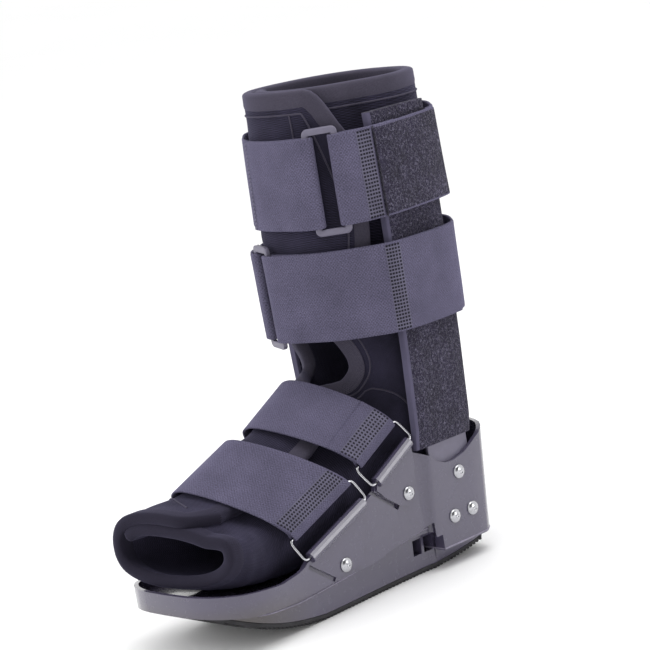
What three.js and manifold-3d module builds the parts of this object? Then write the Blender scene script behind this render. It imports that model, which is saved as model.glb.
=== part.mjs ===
import * as THREE from 'three';
import { mergeVertices } from 'three/addons/utils/BufferGeometryUtils.js';
import Module from 'manifold-3d';

const wasm = await Module();
wasm.setup();

// Driving sizes, in millimetres: +Z is up, the toe points to -Y and +X is the outer side of a left foot

// Overall
const soleLength = 269;        // toe tip to heel of the shell
const heelBack = 124;          // heel of the shell behind the origin
const instepLevel = 150;       // height of the ankle's front crease
const cuffLevel = 336;         // height of the liner's top edge
const linerSeat = 29;          // height of the liner's underside in the tray
const clearance = 0.3;         // gap between pieces that touch

// Shell
const shellWidth = 108;        // over the pockets of the uprights
const shellWall = 3;
const rimLevel = 96;           // height of the ears' top corners
const outsoleThickness = 4;
const tubeRadius = 4;
const earStep = 1.6;           // how far the ear plates stand out of the wall
const heelLean = 7;            // how far the heel's rim stands behind its lower edge

// Metal
const wireRadius = 1;
const rivetHeadRadius = 5;
const rivetHeadHeight = 2.4;
const rivetShankRadius = 1.9;

// Uprights
const stayWidth = 38;
const stayThickness = 2.5;
const sleeveWidth = 52.6;
const sleeveSkin = 1.9;        // pile fabric on each face of the stay

// Liner
const linerWall = 7;
const linerOverhang = 2;       // how far it stands past the shell's half-width at the toes
const legHalfWidth = 53;       // at the calf, and from front to back
const legHalfDepth = 60.5;

// Straps
const webbing = 2;
const footStrapWebbing = 1.8;
const legStrapWidth = 60;
const lowerStrapLevel = 171;
const upperStrapLevel = 249;
const buckleThickness = 3;
const buckleBar = 4.2;
const buckleWidth = 24;
const buckleOverhang = 5.5;    // how far a buckle reaches past its strap, above and below

// Helpers

const degrees = Math.PI / 180;

// A place along the foot: share 0 is the shell's toe tip, 1 its heel
const along = (share) => heelBack - soleLength + share * soleLength;

// A height: share 0 is the liner's underside, 1 the instep, 2 the cuff's top
const level = (share) => (share <= 1
  ? linerSeat + share * (instepLevel - linerSeat)
  : instepLevel + (share - 1) * (cuffLevel - instepLevel));

// A place along the leg's depth: share -1 is its front, +1 its back
const legCentre = along(0.799);
const acrossLeg = (share) => legCentre + share * legHalfDepth;

// A height on the shell, as a share of its ears' height
const onShell = (share) => share * rimLevel;

function smooth(start, end, value) {
  const t = Math.min(1, Math.max(0, (value - start) / (end - start)));
  return t * t * (3 - 2 * t);
}

// Straight interpolation in a table of rows, by the first column
function lookUp(rows, value, column) {
  if (value <= rows[0][0]) return rows[0][column];
  for (let i = 1; i < rows.length; i += 1) {
    if (value <= rows[i][0]) {
      const t = (value - rows[i - 1][0]) / (rows[i][0] - rows[i - 1][0]);
      return rows[i - 1][column] + t * (rows[i][column] - rows[i - 1][column]);
    }
  }
  return rows[rows.length - 1][column];
}

// Smooth interpolation in a list of equally spaced rows, by row number
function blendRows(rows, at, key) {
  const last = rows.length - 1;
  const i = Math.min(last - 1, Math.max(0, Math.floor(at)));
  const t = at - i;
  const value = (k) => rows[Math.min(last, Math.max(0, k))][key];
  const [a, b, c, d] = [value(i - 1), value(i), value(i + 1), value(i + 2)];
  return b + 0.5 * t * (c - a + t * (2 * a - 5 * b + 4 * c - d + t * (3 * (b - c) + d - a)));
}

const power = (value, exponent) => Math.sign(value) * Math.abs(value) ** exponent;

function signedVolume(geometry) {
  const place = geometry.attributes.position;
  const index = geometry.index;
  const [a, b, c] = [new THREE.Vector3(), new THREE.Vector3(), new THREE.Vector3()];
  let volume = 0;
  for (let i = 0; i < index.count; i += 3) {
    a.fromBufferAttribute(place, index.getX(i));
    b.fromBufferAttribute(place, index.getX(i + 1));
    c.fromBufferAttribute(place, index.getX(i + 2));
    volume += a.dot(b.cross(c)) / 6;
  }
  return volume;
}

// A closed body from points and triangles, turned so that its faces point out
function bodyFrom(points, triangles) {
  const geometry = new THREE.BufferGeometry();
  geometry.setAttribute('position', new THREE.Float32BufferAttribute(points.flatMap((p) => [p.x, p.y, p.z]), 3));
  geometry.setIndex(triangles.flat());
  if (signedVolume(geometry) < 0) {
    geometry.setIndex(triangles.flatMap(([i, j, k]) => [i, k, j]));
  }
  return geometry;
}

// A body through rings of equal length, each end closed by the given triangles
function loft(rings, caps) {
  const count = rings[0].length;
  const triangles = caps.map(([i, j, k]) => [i, k, j]);
  for (let r = 0; r + 1 < rings.length; r += 1) {
    for (let i = 0; i < count; i += 1) {
      const next = (i + 1) % count;
      triangles.push([r * count + i, r * count + next, (r + 1) * count + next]);
      triangles.push([r * count + i, (r + 1) * count + next, (r + 1) * count + i]);
    }
  }
  const base = (rings.length - 1) * count;
  caps.forEach(([i, j, k]) => triangles.push([base + i, base + j, base + k]));
  return bodyFrom(rings.flat(), triangles);
}

// Triangles across a ring whose two halves mirror each other, from point 0 to the point opposite
function ladder(count) {
  const triangles = [];
  for (let k = 0; k < count / 2; k += 1) {
    const [a, b] = [k, k + 1];
    const [c, d] = [(count - k) % count, count - k - 1];
    if (a !== c) triangles.push([a, b, c]);
    if (b !== d) triangles.push([b, d, c]);
  }
  return triangles;
}

function toSolid(geometry) {
  const bare = geometry.clone();
  bare.deleteAttribute('normal');
  bare.deleteAttribute('uv');
  const merged = mergeVertices(bare, 1e-4);
  return new wasm.Manifold(new wasm.Mesh({
    numProp: 3,
    vertProperties: new Float32Array(merged.attributes.position.array),
    triVerts: new Uint32Array(merged.index.array),
  }));
}

function toGeometry(solid) {
  const mesh = solid.getMesh();
  const geometry = new THREE.BufferGeometry();
  geometry.setAttribute('position', new THREE.BufferAttribute(new Float32Array(mesh.vertProperties), 3));
  geometry.setIndex(new THREE.BufferAttribute(new Uint32Array(mesh.triVerts), 1));
  return geometry;
}

// A cylinder between two points
function rod(start, end, radius, sides) {
  const axis = new THREE.Vector3().subVectors(end, start);
  const geometry = new THREE.CylinderGeometry(radius, radius, axis.length(), sides);
  const turn = new THREE.Quaternion().setFromUnitVectors(new THREE.Vector3(0, 1, 0), axis.clone().normalize());
  geometry.applyQuaternion(turn);
  geometry.translate((start.x + end.x) / 2, (start.y + end.y) / 2, (start.z + end.z) / 2);
  return geometry;
}

function block(low, high) {
  const geometry = new THREE.BoxGeometry(high.x - low.x, high.y - low.y, high.z - low.z);
  geometry.translate((low.x + high.x) / 2, (low.y + high.y) / 2, (low.z + high.z) / 2);
  return geometry;
}

const mirrored = (point) => new THREE.Vector3(-point.x, point.y, point.z);

// Materials

const plastic = (color) => new THREE.MeshStandardMaterial({ color, roughness: 0.25, metalness: 0 });
const cloth = (color) => new THREE.MeshStandardMaterial({ color, roughness: 0.95, metalness: 0 });
const metal = () => new THREE.MeshStandardMaterial({ color: 0xc8c8cc, roughness: 0.2, metalness: 1 });
const shellColor = 0x4a4851;
const rubberColor = 0x1b1a1d;
const webbingColor = 0x57555f;
const linerColor = 0x1c1b21;
const pileColor = 0x33313a;
const buckleColor = 0x5d5c64;

const boot = new THREE.Group();

function addPart(name, geometry, material) {
  const mesh = new THREE.Mesh(geometry, material);
  mesh.name = name;
  boot.add(mesh);
}

// Shell outline, seen from above

// along the foot, half-width, inset of the sole: widths and insets are shares of the shell's half-width
const planRows = [
  [0.00, 0.95, 0.340],
  [0.09, 1.02, 0.250],
  [0.17, 1.03, 0.160],
  [0.26, 0.98, 0.120],
  [0.35, 0.95, 0.120],
  [0.46, 0.93, 0.130],
  [0.58, 0.92, 0.150],
  [0.70, 0.92, 0.165],
  [0.72, 0.94, 0.190],
  [0.735, 0.975, 0.220],
  [0.75, 1.00, 0.240],
  [0.93, 1.00, 0.240],
  [1.00, 1.00, 0.160],
];

// along the foot, rim, ledge under the flange and tray floor: heights are shares of the ears' height
const wallRows = [
  [0.000, 0.455, 0.31, 0.372],
  [0.090, 0.430, 0.27, 0.352],
  [0.200, 0.405, 0.25, 0.320],
  [0.270, 0.425, 0.25, 0.300],
  [0.290, 0.450, 0.25, 0.298],
  [0.305, 0.490, 0.25, 0.298],
  [0.500, 0.700, 0.26, 0.298],
  [0.512, 0.690, 0.26, 0.298],
  [0.554, 0.745, 0.28, 0.298],
  [0.562, 0.800, 0.29, 0.298],
  [0.690, 0.990, 0.34, 0.298],
  [0.697, 0.985, 0.345, 0.298],
  [0.703, 0.900, 0.35, 0.298],
  [0.735, 0.860, 0.37, 0.298],
  [0.742, 0.850, 0.37, 0.298],
  [0.752, 0.840, 0.15, 0.298],
  [0.770, 0.790, 0.15, 0.298],
  [0.800, 0.755, 0.15, 0.298],
  [0.830, 0.750, 0.15, 0.298],
  [0.870, 0.775, 0.15, 0.298],
  [0.905, 0.825, 0.15, 0.298],
  [0.940, 0.885, 0.15, 0.298],
  [0.970, 0.915, 0.155, 0.298],
  [1.000, 0.925, 0.17, 0.298],
];

// along the foot, height of the tread as a share of the ears' height: flat in the middle, curved up at both ends
const treadRows = [
  [0.045, 0.245],
  [0.070, 0.215],
  [0.105, 0.172],
  [0.145, 0.128],
  [0.185, 0.090],
  [0.225, 0.060],
  [0.270, 0.034],
  [0.315, 0.014],
  [0.355, 0.000],
  [0.765, 0.000],
  [0.830, 0.014],
  [0.890, 0.034],
  [0.940, 0.060],
  [0.972, 0.085],
];

// ends: share of the sole's length that is rounded, and how square the rounding is
const toeEnd = { round: 0.17, power: 3 };
const heelEnd = { round: 0.085, power: 2.4 };

function endRound(share) {
  const end = share < 0.5 ? toeEnd : heelEnd;
  const distance = Math.min(share, 1 - share) / end.round;
  if (distance >= 1) return 1;
  return (1 - (1 - distance) ** end.power) ** (1 / end.power);
}

function planPoint(share) {
  const half = (shellWidth / 2) * lookUp(planRows, share, 1) * endRound(share);
  return new THREE.Vector2(half, along(share));
}

const turnSteps = 9;
const planStations = [];
for (let i = 0; i < turnSteps; i += 1) planStations.push(toeEnd.round * (1 - Math.cos((i / turnSteps) * 90 * degrees)));
planStations.push(0.17, 0.20, 0.23, 0.26, 0.29, 0.305, 0.35, 0.40, 0.45, 0.500, 0.512, 0.533, 0.554, 0.562);
planStations.push(0.60, 0.645, 0.690, 0.697, 0.703, 0.72, 0.735, 0.742, 0.752, 0.77, 0.80, 0.83, 0.87, 0.895);
for (let i = turnSteps - 1; i >= 0; i -= 1) {
  planStations.push(1 - heelEnd.round * (1 - Math.cos((i / turnSteps) * 90 * degrees)));
}

// Outline points of one side with their outward directions
const planSide = planStations.map((share) => {
  const step = 0.002;
  const point = planPoint(share);
  const ahead = planPoint(Math.min(1, share + step));
  const behind = planPoint(Math.max(0, share - step));
  const run = new THREE.Vector2().subVectors(ahead, behind).normalize();
  const out = new THREE.Vector2(run.y, -run.x);
  if (share === 0) out.set(0, -1);
  if (share === 1) out.set(0, 1);
  return { share, point, out };
});

// A ring round the whole outline, moved in by inset(share), at height(share, y), and forward by lean(share)
function planRing(inset, height, lean = () => 0) {
  const side = planSide.map(({ share, point, out }) => {
    const x = Math.max(0, point.x - out.x * inset(share));
    const y = point.y - out.y * inset(share);
    return new THREE.Vector3(x, y - lean(share), height(share, y));
  });
  const back = side.slice(1, -1).reverse().map(mirrored);
  return [...side, ...back];
}

const shareAt = (y) => (y - along(0)) / soleLength;
const treadHeight = (y) => onShell(lookUp(treadRows, shareAt(y), 1));
const soleInset = (share) => (shellWidth / 2) * lookUp(planRows, share, 2);
const ledgeHeight = (share) => onShell(lookUp(wallRows, share, 2));
const rimHeight = (share) => onShell(lookUp(wallRows, share, 1));
const floorHeight = (share) => Math.min(rimHeight(share) - 1, linerSeat - clearance
  + onShell(lookUp(wallRows, share, 3) - wallRows[wallRows.length - 1][3]));
const sameOutline = ladder(planSide.length * 2 - 2);

// The walls of the heel lean back, from where the uprights' pockets start
const leanFrom = 0.71;
const leanWhole = 0.75;
const leanAt = (height) => (share) => heelLean * smooth(leanFrom, leanWhole, share)
  * (rimHeight(1) - height(share)) / (rimHeight(1) - ledgeHeight(1));
const treadDraft = 0.6;
const rockerDraft = 2;

function outsole() {
  const bottom = planRing((s) => soleInset(s) + treadDraft, (s, y) => treadHeight(y));
  const top = planRing(soleInset, (s, y) => treadHeight(y) + outsoleThickness);
  return loft([bottom, top], sameOutline);
}

// Ears: rolled tubes on their slanted edges, plates that stand out of the wall and rivets

// tube start and end: along the foot and share of the ears' height, its distance from the middle plane
const tubes = [
  { name: 'front', start: [0.305, 0.490], end: [0.502, 0.708], side: 52 / 54 },
  { name: 'rear', start: [0.562, 0.800], end: [0.690, 0.990], side: 51 / 54 },
];

// plate outlines: along the foot, share of the ears' height
const earPlates = [
  [[0.279, 0.435], [0.305, 0.490], [0.502, 0.700], [0.509, 0.670], [0.470, 0.300], [0.372, 0.283]],
  [[0.558, 0.745], [0.562, 0.790], [0.690, 0.985], [0.697, 0.960], [0.697, 0.800], [0.665, 0.545], [0.612, 0.590]],
];

// rivets: along the foot, share of the ears' height, what they hold
const rivets = [
  { name: 'ear_front', place: [0.413, 0.344], holds: 'plate' },
  { name: 'ear_rear', place: [0.662, 0.640], holds: 'plate' },
  { name: 'stay_top', place: [0.836, 0.656], holds: 'stay' },
  { name: 'stay_front', place: [0.798, 0.360], holds: 'stay' },
  { name: 'stay_back', place: [0.864, 0.363], holds: 'stay' },
];

const tubeEnd = (tube, end) => new THREE.Vector3((shellWidth / 2) * tube.side, along(tube[end][0]), onShell(tube[end][1]));
const wallOuter = (share) => planPoint(share).x;
const boreRadius = wireRadius + clearance;
const rivetHoleRadius = rivetShankRadius + clearance;
const plateInset = 0.6;

function earPlate(corners) {
  const shape = new THREE.Shape(corners.map(([s, h]) => new THREE.Vector2(along(s), onShell(h))));
  const middle = corners.reduce((sum, [s]) => sum + s, 0) / corners.length;
  const outer = wallOuter(middle) + earStep;
  const depth = shellWall + earStep - plateInset;
  const geometry = new THREE.ExtrudeGeometry(shape, { depth, bevelEnabled: false });
  const turned = new THREE.Matrix4().makeBasis(
    new THREE.Vector3(0, 1, 0), new THREE.Vector3(0, 0, 1), new THREE.Vector3(1, 0, 0));
  geometry.applyMatrix4(turned);
  geometry.translate(outer - depth, 0, 0);
  return geometry;
}

function rivetOuter(rivet) {
  const outer = wallOuter(rivet.place[0]);
  if (rivet.holds === 'stay') return outer;
  const corners = earPlates[rivet.name === 'ear_front' ? 0 : 1];
  const middle = corners.reduce((sum, [s]) => sum + s, 0) / corners.length;
  return wallOuter(middle) + earStep;
}

// Open pockets in the rocker in front of the upright's pocket, with a rib between them: along the foot, and heights
const soleCuts = [[0.678, 0.708], [0.717, 0.746]];
const soleCutHeights = [0.15, 0.265];
const soleCutInner = 0.52;

function shell() {
  const bottom = planRing(soleInset, (s, y) => treadHeight(y) + outsoleThickness + clearance);
  const rockerTop = planRing((s) => soleInset(s) - rockerDraft, ledgeHeight);
  const flangeBottom = planRing(() => 0, ledgeHeight, leanAt(ledgeHeight));
  const rimOuter = planRing(() => 0, rimHeight, leanAt(rimHeight));
  const rimInner = planRing(() => shellWall, rimHeight, leanAt(rimHeight));
  const floorEdge = planRing(() => shellWall, floorHeight, leanAt(floorHeight));
  let solid = toSolid(loft([bottom, rockerTop, flangeBottom, rimOuter, rimInner, floorEdge], sameOutline));
  const half = shellWidth / 2;
  [1, -1].forEach((side) => {
    const place = (geometry) => toSolid(side > 0 ? geometry : flipped(geometry));
    earPlates.forEach((corners) => {
      solid = solid.add(place(earPlate(corners)));
    });
    tubes.forEach((tube) => {
      solid = solid.add(place(rod(tubeEnd(tube, 'start'), tubeEnd(tube, 'end'), tubeRadius, 12)));
    });
    tubes.forEach((tube) => {
      const run = new THREE.Vector3().subVectors(tubeEnd(tube, 'end'), tubeEnd(tube, 'start')).normalize();
      const start = tubeEnd(tube, 'start').addScaledVector(run, -tubeRadius);
      const end = tubeEnd(tube, 'end').addScaledVector(run, tubeRadius);
      solid = solid.subtract(place(rod(start, end, boreRadius, 8)));
    });
    rivets.forEach((rivet) => {
      const [y, z] = [along(rivet.place[0]), onShell(rivet.place[1])];
      const start = new THREE.Vector3(half * 0.75, y, z);
      const end = new THREE.Vector3(half * 1.2, y, z);
      solid = solid.subtract(place(rod(start, end, rivetHoleRadius, 8)));
    });
    soleCuts.forEach(([front, back]) => {
      const low = new THREE.Vector3(half * soleCutInner, along(front), onShell(soleCutHeights[0]));
      const high = new THREE.Vector3(half * 1.2, along(back), onShell(soleCutHeights[1]));
      solid = solid.subtract(place(block(low, high)));
    });
  });
  return toGeometry(solid);
}

// The same body on the other side of the middle plane
function flipped(geometry) {
  const bare = geometry.clone();
  bare.deleteAttribute('normal');
  bare.deleteAttribute('uv');
  const merged = mergeVertices(bare, 1e-4);
  const place = merged.attributes.position;
  for (let i = 0; i < place.count; i += 1) place.setX(i, -place.getX(i));
  const index = merged.index.array;
  const turned = [];
  for (let i = 0; i < index.length; i += 3) turned.push(index[i], index[i + 2], index[i + 1]);
  merged.setIndex(turned);
  return merged;
}

function rivetBody(rivet) {
  const outer = rivetOuter(rivet);
  const stayPack = rivet.holds === 'stay' ? stayThickness + clearance : 0;
  const inner = wallOuter(rivet.place[0]) - shellWall - stayPack;
  const tail = 0.9;
  const profile = [
    new THREE.Vector2(0, inner - clearance - tail),
    new THREE.Vector2(rivetShankRadius * 1.7, inner - clearance - tail),
    new THREE.Vector2(rivetShankRadius * 1.7, inner - clearance),
    new THREE.Vector2(rivetShankRadius, inner - clearance),
    new THREE.Vector2(rivetShankRadius, outer + clearance),
    new THREE.Vector2(rivetHeadRadius, outer + clearance),
    new THREE.Vector2(rivetHeadRadius * 0.96, outer + clearance + rivetHeadHeight * 0.35),
    new THREE.Vector2(rivetHeadRadius * 0.6, outer + clearance + rivetHeadHeight * 0.85),
    new THREE.Vector2(0, outer + clearance + rivetHeadHeight),
  ];
  const geometry = new THREE.LatheGeometry(profile, 10);
  geometry.rotateZ(-90 * degrees);
  geometry.translate(0, along(rivet.place[0]), onShell(rivet.place[1]));
  return geometry;
}

// A closed ring of round wire along points that lie in one plane
function wireRing(points, radius, sides) {
  const count = points.length;
  const normal = new THREE.Vector3();
  points.forEach((p, i) => normal.add(new THREE.Vector3().crossVectors(p, points[(i + 1) % count])));
  normal.normalize();
  const place = [];
  points.forEach((p, i) => {
    const before = points[(i + count - 1) % count];
    const after = points[(i + 1) % count];
    const run = new THREE.Vector3().subVectors(after, before).normalize();
    const out = new THREE.Vector3().crossVectors(run, normal).normalize();
    for (let k = 0; k < sides; k += 1) {
      const turn = (k / sides) * 360 * degrees;
      const spot = p.clone().addScaledVector(out, radius * Math.cos(turn));
      place.push(spot.addScaledVector(normal, radius * Math.sin(turn)));
    }
  });
  const triangles = [];
  for (let i = 0; i < count; i += 1) {
    for (let k = 0; k < sides; k += 1) {
      const [next, turn] = [(i + 1) % count, (k + 1) % sides];
      triangles.push([i * sides + k, next * sides + k, next * sides + turn]);
      triangles.push([i * sides + k, next * sides + turn, i * sides + turn]);
    }
  }
  return bodyFrom(place, triangles);
}

const loopOverrun = 4.5;      // a wire loop's length past each end of its tube
const loopDepth = 17;
const loopLean = 22 * degrees;  // towards the middle plane, as the strap pulls it
const loopCorner = 3.5;

// The four corners of a wire loop: two on the tube's axis and two at the strap
function loopCorners(tube) {
  const start = tubeEnd(tube, 'start');
  const end = tubeEnd(tube, 'end');
  const run = new THREE.Vector3().subVectors(end, start).normalize();
  const up = new THREE.Vector3(-Math.sin(loopLean), -run.z * Math.cos(loopLean), run.y * Math.cos(loopLean));
  const low = start.clone().addScaledVector(run, -loopOverrun);
  const high = end.clone().addScaledVector(run, loopOverrun);
  return {
    run,
    up,
    corners: [low, high, high.clone().addScaledVector(up, loopDepth), low.clone().addScaledVector(up, loopDepth)],
  };
}

function wireLoop(tube) {
  const { corners } = loopCorners(tube);
  const points = [];
  const cornerSteps = 3;
  corners.forEach((corner, i) => {
    const before = corners[(i + 3) % 4];
    const after = corners[(i + 1) % 4];
    const back = new THREE.Vector3().subVectors(before, corner).normalize();
    const on = new THREE.Vector3().subVectors(after, corner).normalize();
    const centre = corner.clone().addScaledVector(back, loopCorner).addScaledVector(on, loopCorner);
    for (let k = 0; k <= cornerSteps; k += 1) {
      const turn = (k / cornerSteps) * 90 * degrees;
      points.push(centre.clone()
        .addScaledVector(on, -loopCorner * Math.cos(turn))
        .addScaledVector(back, -loopCorner * Math.sin(turn)));
    }
  });
  return wireRing(points, wireRadius, 6);
}

// Uprights

// height from the pocket's rim to the cuff, share of the way out from the pocket to the calf
const uprightRows = [
  [0.000, 0.00],
  [0.061, 0.38],
  [0.262, 0.75],
  [0.464, 0.95],
  [0.658, 0.98],
  [0.819, 0.88],
  [0.922, 0.71],
];
const sleeveMiddle = 0.806;     // middle of the sleeve, along the foot
const stayMiddle = 0.825;
const sleeveFoot = 0.006;       // bottom and top of the sleeve, and top of the stay, from the pocket's rim to the cuff
const sleeveTop = 0.922;
const stayTop = 0.899;
const stayLift = 2;             // gap between the stay's foot and the tray
const pocketRim = 0.89;

// the sleeve stands clear of the rear wire loop
const rearLoopBack = loopCorners(tubes[1]).corners[1].y + wireRadius;
const sleevePlace = Math.max(along(sleeveMiddle), rearLoopBack + clearance + sleeveWidth / 2);
const sleeveThickness = stayThickness + 2 * (sleeveSkin + clearance);
const aboveRim = (share) => onShell(pocketRim) + share * (cuffLevel - onShell(pocketRim));
const stayInPocket = shellWidth / 2 - shellWall - clearance - stayThickness / 2;
const stayAtCalf = legHalfWidth + sleeveThickness / 2;
const bends = uprightRows.map(([height, out]) => [aboveRim(height), stayInPocket + out * (stayAtCalf - stayInPocket)]);
const stayPlace = (z) => lookUp(bends, z, 1);

// A bent flat bar with cut corners: rings up its height
function flatBar(middleY, width, thickness, corner, heights) {
  const [w, t] = [width / 2, thickness / 2];
  const rings = heights.map((z) => {
    const x = stayPlace(z);
    return [
      [0, -w], [t - corner / 2, -w], [t, -w + corner], [t, w - corner], [t - corner / 2, w], [0, w],
      [-t + corner / 2, w], [-t, w - corner], [-t, -w + corner], [-t + corner / 2, -w],
    ].map(([dx, dy]) => new THREE.Vector3(x + dx, middleY + dy, z));
  });
  return loft(rings, ladder(rings[0].length));
}

const uprightHeights = (low, high) => [low, ...bends.map(([z]) => z).filter((z) => z > low + 2 && z < high - 2), high];

function stay() {
  let solid = toSolid(flatBar(along(stayMiddle), stayWidth, stayThickness, 0.6, uprightHeights(linerSeat + stayLift, aboveRim(stayTop))));
  rivets.filter(({ holds }) => holds === 'stay').forEach((rivet) => {
    const [y, z] = [along(rivet.place[0]), onShell(rivet.place[1])];
    const half = shellWidth / 2;
    const hole = rod(new THREE.Vector3(half * 0.7, y, z), new THREE.Vector3(half * 1.2, y, z), rivetHoleRadius, 8);
    solid = solid.subtract(toSolid(hole));
  });
  return toGeometry(solid);
}

function sleeve() {
  const [low, high] = [aboveRim(sleeveFoot), aboveRim(sleeveTop)];
  const outer = flatBar(sleevePlace, sleeveWidth, sleeveThickness, 2, uprightHeights(low, high));
  const hollowWidth = stayWidth + 2 * clearance;
  const hollowHeights = uprightHeights(low - stayLift, aboveRim(stayTop) + clearance);
  const hollow = flatBar(along(stayMiddle), hollowWidth, stayThickness + 2 * clearance, 0.6, hollowHeights);
  return toGeometry(toSolid(outer).subtract(toSolid(hollow)));
}

// Liner: one padded sheet from the outer flap's edge, round the leg or the sole, to the inner flap's edge

// Sections of the foot, from the toe, and of the leg, up to the cuff, with a fan between them at the ankle.
// front and back points: heights are levels, places are along the foot in the first table and across the leg in
// the second. width is a share of the liner's half-width at the toes or at the calf. top and sole are the
// roundness in front and behind. outer and inner are the edges of the flaps from the inner and the outer side of
// the foot, in degrees past the front line, and lap is how far the outer flap covers the other. ridge is how far
// the instep's crest leans to the inner side, as a share of the half-width
const footRows = [
  { frontY: 0.052, frontZ: 0.525, backY: 0.048, backZ: 0.130, width: 0.88, ridge: 0.05, top: 2.3, sole: 2.3, outer: 36, inner: -62, lap: 44 },
  { frontY: 0.123, frontZ: 0.535, backY: 0.123, backZ: 0.062, width: 0.84, ridge: 0.15, top: 2.2, sole: 2.4, outer: 44, inner: -58, lap: 46 },
  { frontY: 0.204, frontZ: 0.570, backY: 0.212, backZ: 0.022, width: 0.725, ridge: 0.28, top: 1.85, sole: 2.6, outer: 48, inner: -52, lap: 50 },
  { frontY: 0.309, frontZ: 0.689, backY: 0.323, backZ: 0.000, width: 0.715, ridge: 0.34, top: 1.75, sole: 2.8, outer: 50, inner: -48, lap: 52 },
  { frontY: 0.409, frontZ: 0.740, backY: 0.435, backZ: 0.000, width: 0.71, ridge: 0.35, top: 1.75, sole: 2.9, outer: 50, inner: -44, lap: 52 },
  { frontY: 0.509, frontZ: 0.860, backY: 0.576, backZ: 0.000, width: 0.71, ridge: 0.35, top: 1.75, sole: 2.9, outer: 44, inner: -36, lap: 52 },
  { frontY: 0.576, frontZ: 0.925, backY: 0.717, backZ: 0.000, width: 0.73, ridge: 0.28, top: 1.9, sole: 2.9, outer: 8, inner: -4, lap: 50 },
  { frontY: 0.613, frontZ: 0.985, backY: 0.836, backZ: 0.010, width: 0.76, ridge: 0.15, top: 2.1, sole: 2.8, outer: -20, inner: 20, lap: 50 },
  { frontY: 0.630, frontZ: 1.030, backY: 0.926, backZ: 0.075, width: 0.80, ridge: 0.05, top: 2.2, sole: 2.6, outer: -26, inner: 25, lap: 50 },
  { frontY: 0.622, frontZ: 1.082, backY: 0.974, backZ: 0.240, width: 0.81, ridge: 0.00, top: 2.3, sole: 2.5, outer: -29, inner: 27, lap: 50 },
];
const legRows = [
  { frontY: -0.898, frontZ: 1.145, backY: 0.823, backZ: 0.463, width: 0.866, ridge: 0.00, top: 2.3, sole: 2.4, outer: -25, inner: 23, lap: 54 },
  { frontY: -0.983, frontZ: 1.226, backY: 0.827, backZ: 0.711, width: 0.888, ridge: 0.00, top: 2.3, sole: 2.4, outer: 0, inner: 0, lap: 60 },
  { frontY: -1.018, frontZ: 1.333, backY: 0.845, backZ: 0.959, width: 0.940, ridge: 0.00, top: 2.3, sole: 2.4, outer: 54, inner: -42, lap: 64 },
  { frontY: -1.036, frontZ: 1.484, backY: 0.925, backZ: 1.215, width: 0.983, ridge: 0.00, top: 2.3, sole: 2.4, outer: 63, inner: -50, lap: 66 },
  { frontY: -1.009, frontZ: 1.672, backY: 0.983, backZ: 1.484, width: 0.990, ridge: 0.00, top: 2.3, sole: 2.4, outer: 64, inner: -50, lap: 66 },
  { frontY: -0.992, frontZ: 1.860, backY: 0.983, backZ: 1.753, width: 0.956, ridge: 0.00, top: 2.3, sole: 2.4, outer: 64, inner: -50, lap: 66 },
  { frontY: -0.974, frontZ: 2.000, backY: 0.956, backZ: 1.985, width: 0.951, ridge: 0.00, top: 2.3, sole: 2.4, outer: 62, inner: -50, lap: 66 },
];
const linerHalfWidth = shellWidth / 2 + linerOverhang;
const placeRow = (row, reach, half) => ({ ...row, frontY: reach(row.frontY), backY: reach(row.backY), half: half * row.width });
const linerRows = [
  ...footRows.map((row) => placeRow(row, along, linerHalfWidth)),
  ...legRows.map((row) => placeRow(row, acrossLeg, legHalfWidth)),
];
const toeSkew = 0.17;         // the inner side of the toe end reaches further forward
const toeLean = 0.10;         // and stands higher
const flapGap = 0.6;
const lapRise = 32;           // degrees past the lap over which the inner flap rises to the outer surface

const linerLast = linerRows.length - 1;
// A point on the liner: s is the section, angle is in degrees from the front line over the outer side of the foot
function linerPoint(s, angle, depth) {
  const row = (key) => blendRows(linerRows, s, key);
  const front = new THREE.Vector2(row('frontY'), level(row('frontZ')));
  const back = new THREE.Vector2(row('backY'), level(row('backZ')));
  const reach = front.distanceTo(back) / 2;
  const middle = new THREE.Vector2().addVectors(front, back).multiplyScalar(0.5);
  const up = new THREE.Vector2().subVectors(front, back).normalize();
  const under = (linerWall + flapGap) * (1 - smooth(row('lap'), row('lap') + lapRise, angle));
  const inset = depth + under;
  const turn = angle * degrees;
  const bend = 2 / (Math.cos(turn) > 0 ? row('top') : row('sole'));
  const x = (row('half') - inset) * power(Math.sin(turn), bend);
  const rise = (reach - inset) * power(Math.cos(turn), bend);
  const ridge = row('ridge') * row('half') * power(Math.max(0, Math.cos(turn)), 2 * bend);
  const toe = 1 - smooth(0, 3, s);
  return new THREE.Vector3(
    x - ridge,
    middle.x + rise * up.x + toe * toeSkew * x,
    middle.y + rise * up.y - toe * toeLean * x * smooth(-0.5, 1, Math.cos(turn)),
  );
}

const linerColumns = 34;
const linerSteps = 24;
const toeCorner = { from: 8, to: 44, cut: 1.25 };     // the outer flap's front corner is rounded off
const cuffCorner = { from: 30, to: 66, cut: 1.15 };   // and so is its top corner

// Where column u and step v of the sheet lie: its section and its angle
function linerPlace(u, v) {
  const plain = v * linerLast;
  const first = blendRows(linerRows, plain, 'inner');
  const last = 360 + blendRows(linerRows, plain, 'outer');
  const angle = first + u * (last - first);
  const past = angle - 360;
  const toeCut = toeCorner.cut * smooth(toeCorner.from, toeCorner.to, past) * (1 - smooth(0, 3, plain));
  const cuffCut = cuffCorner.cut * smooth(cuffCorner.from, cuffCorner.to, past) * smooth(linerLast - 3, linerLast, plain);
  return { s: plain + toeCut - cuffCut, angle };
}

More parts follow.
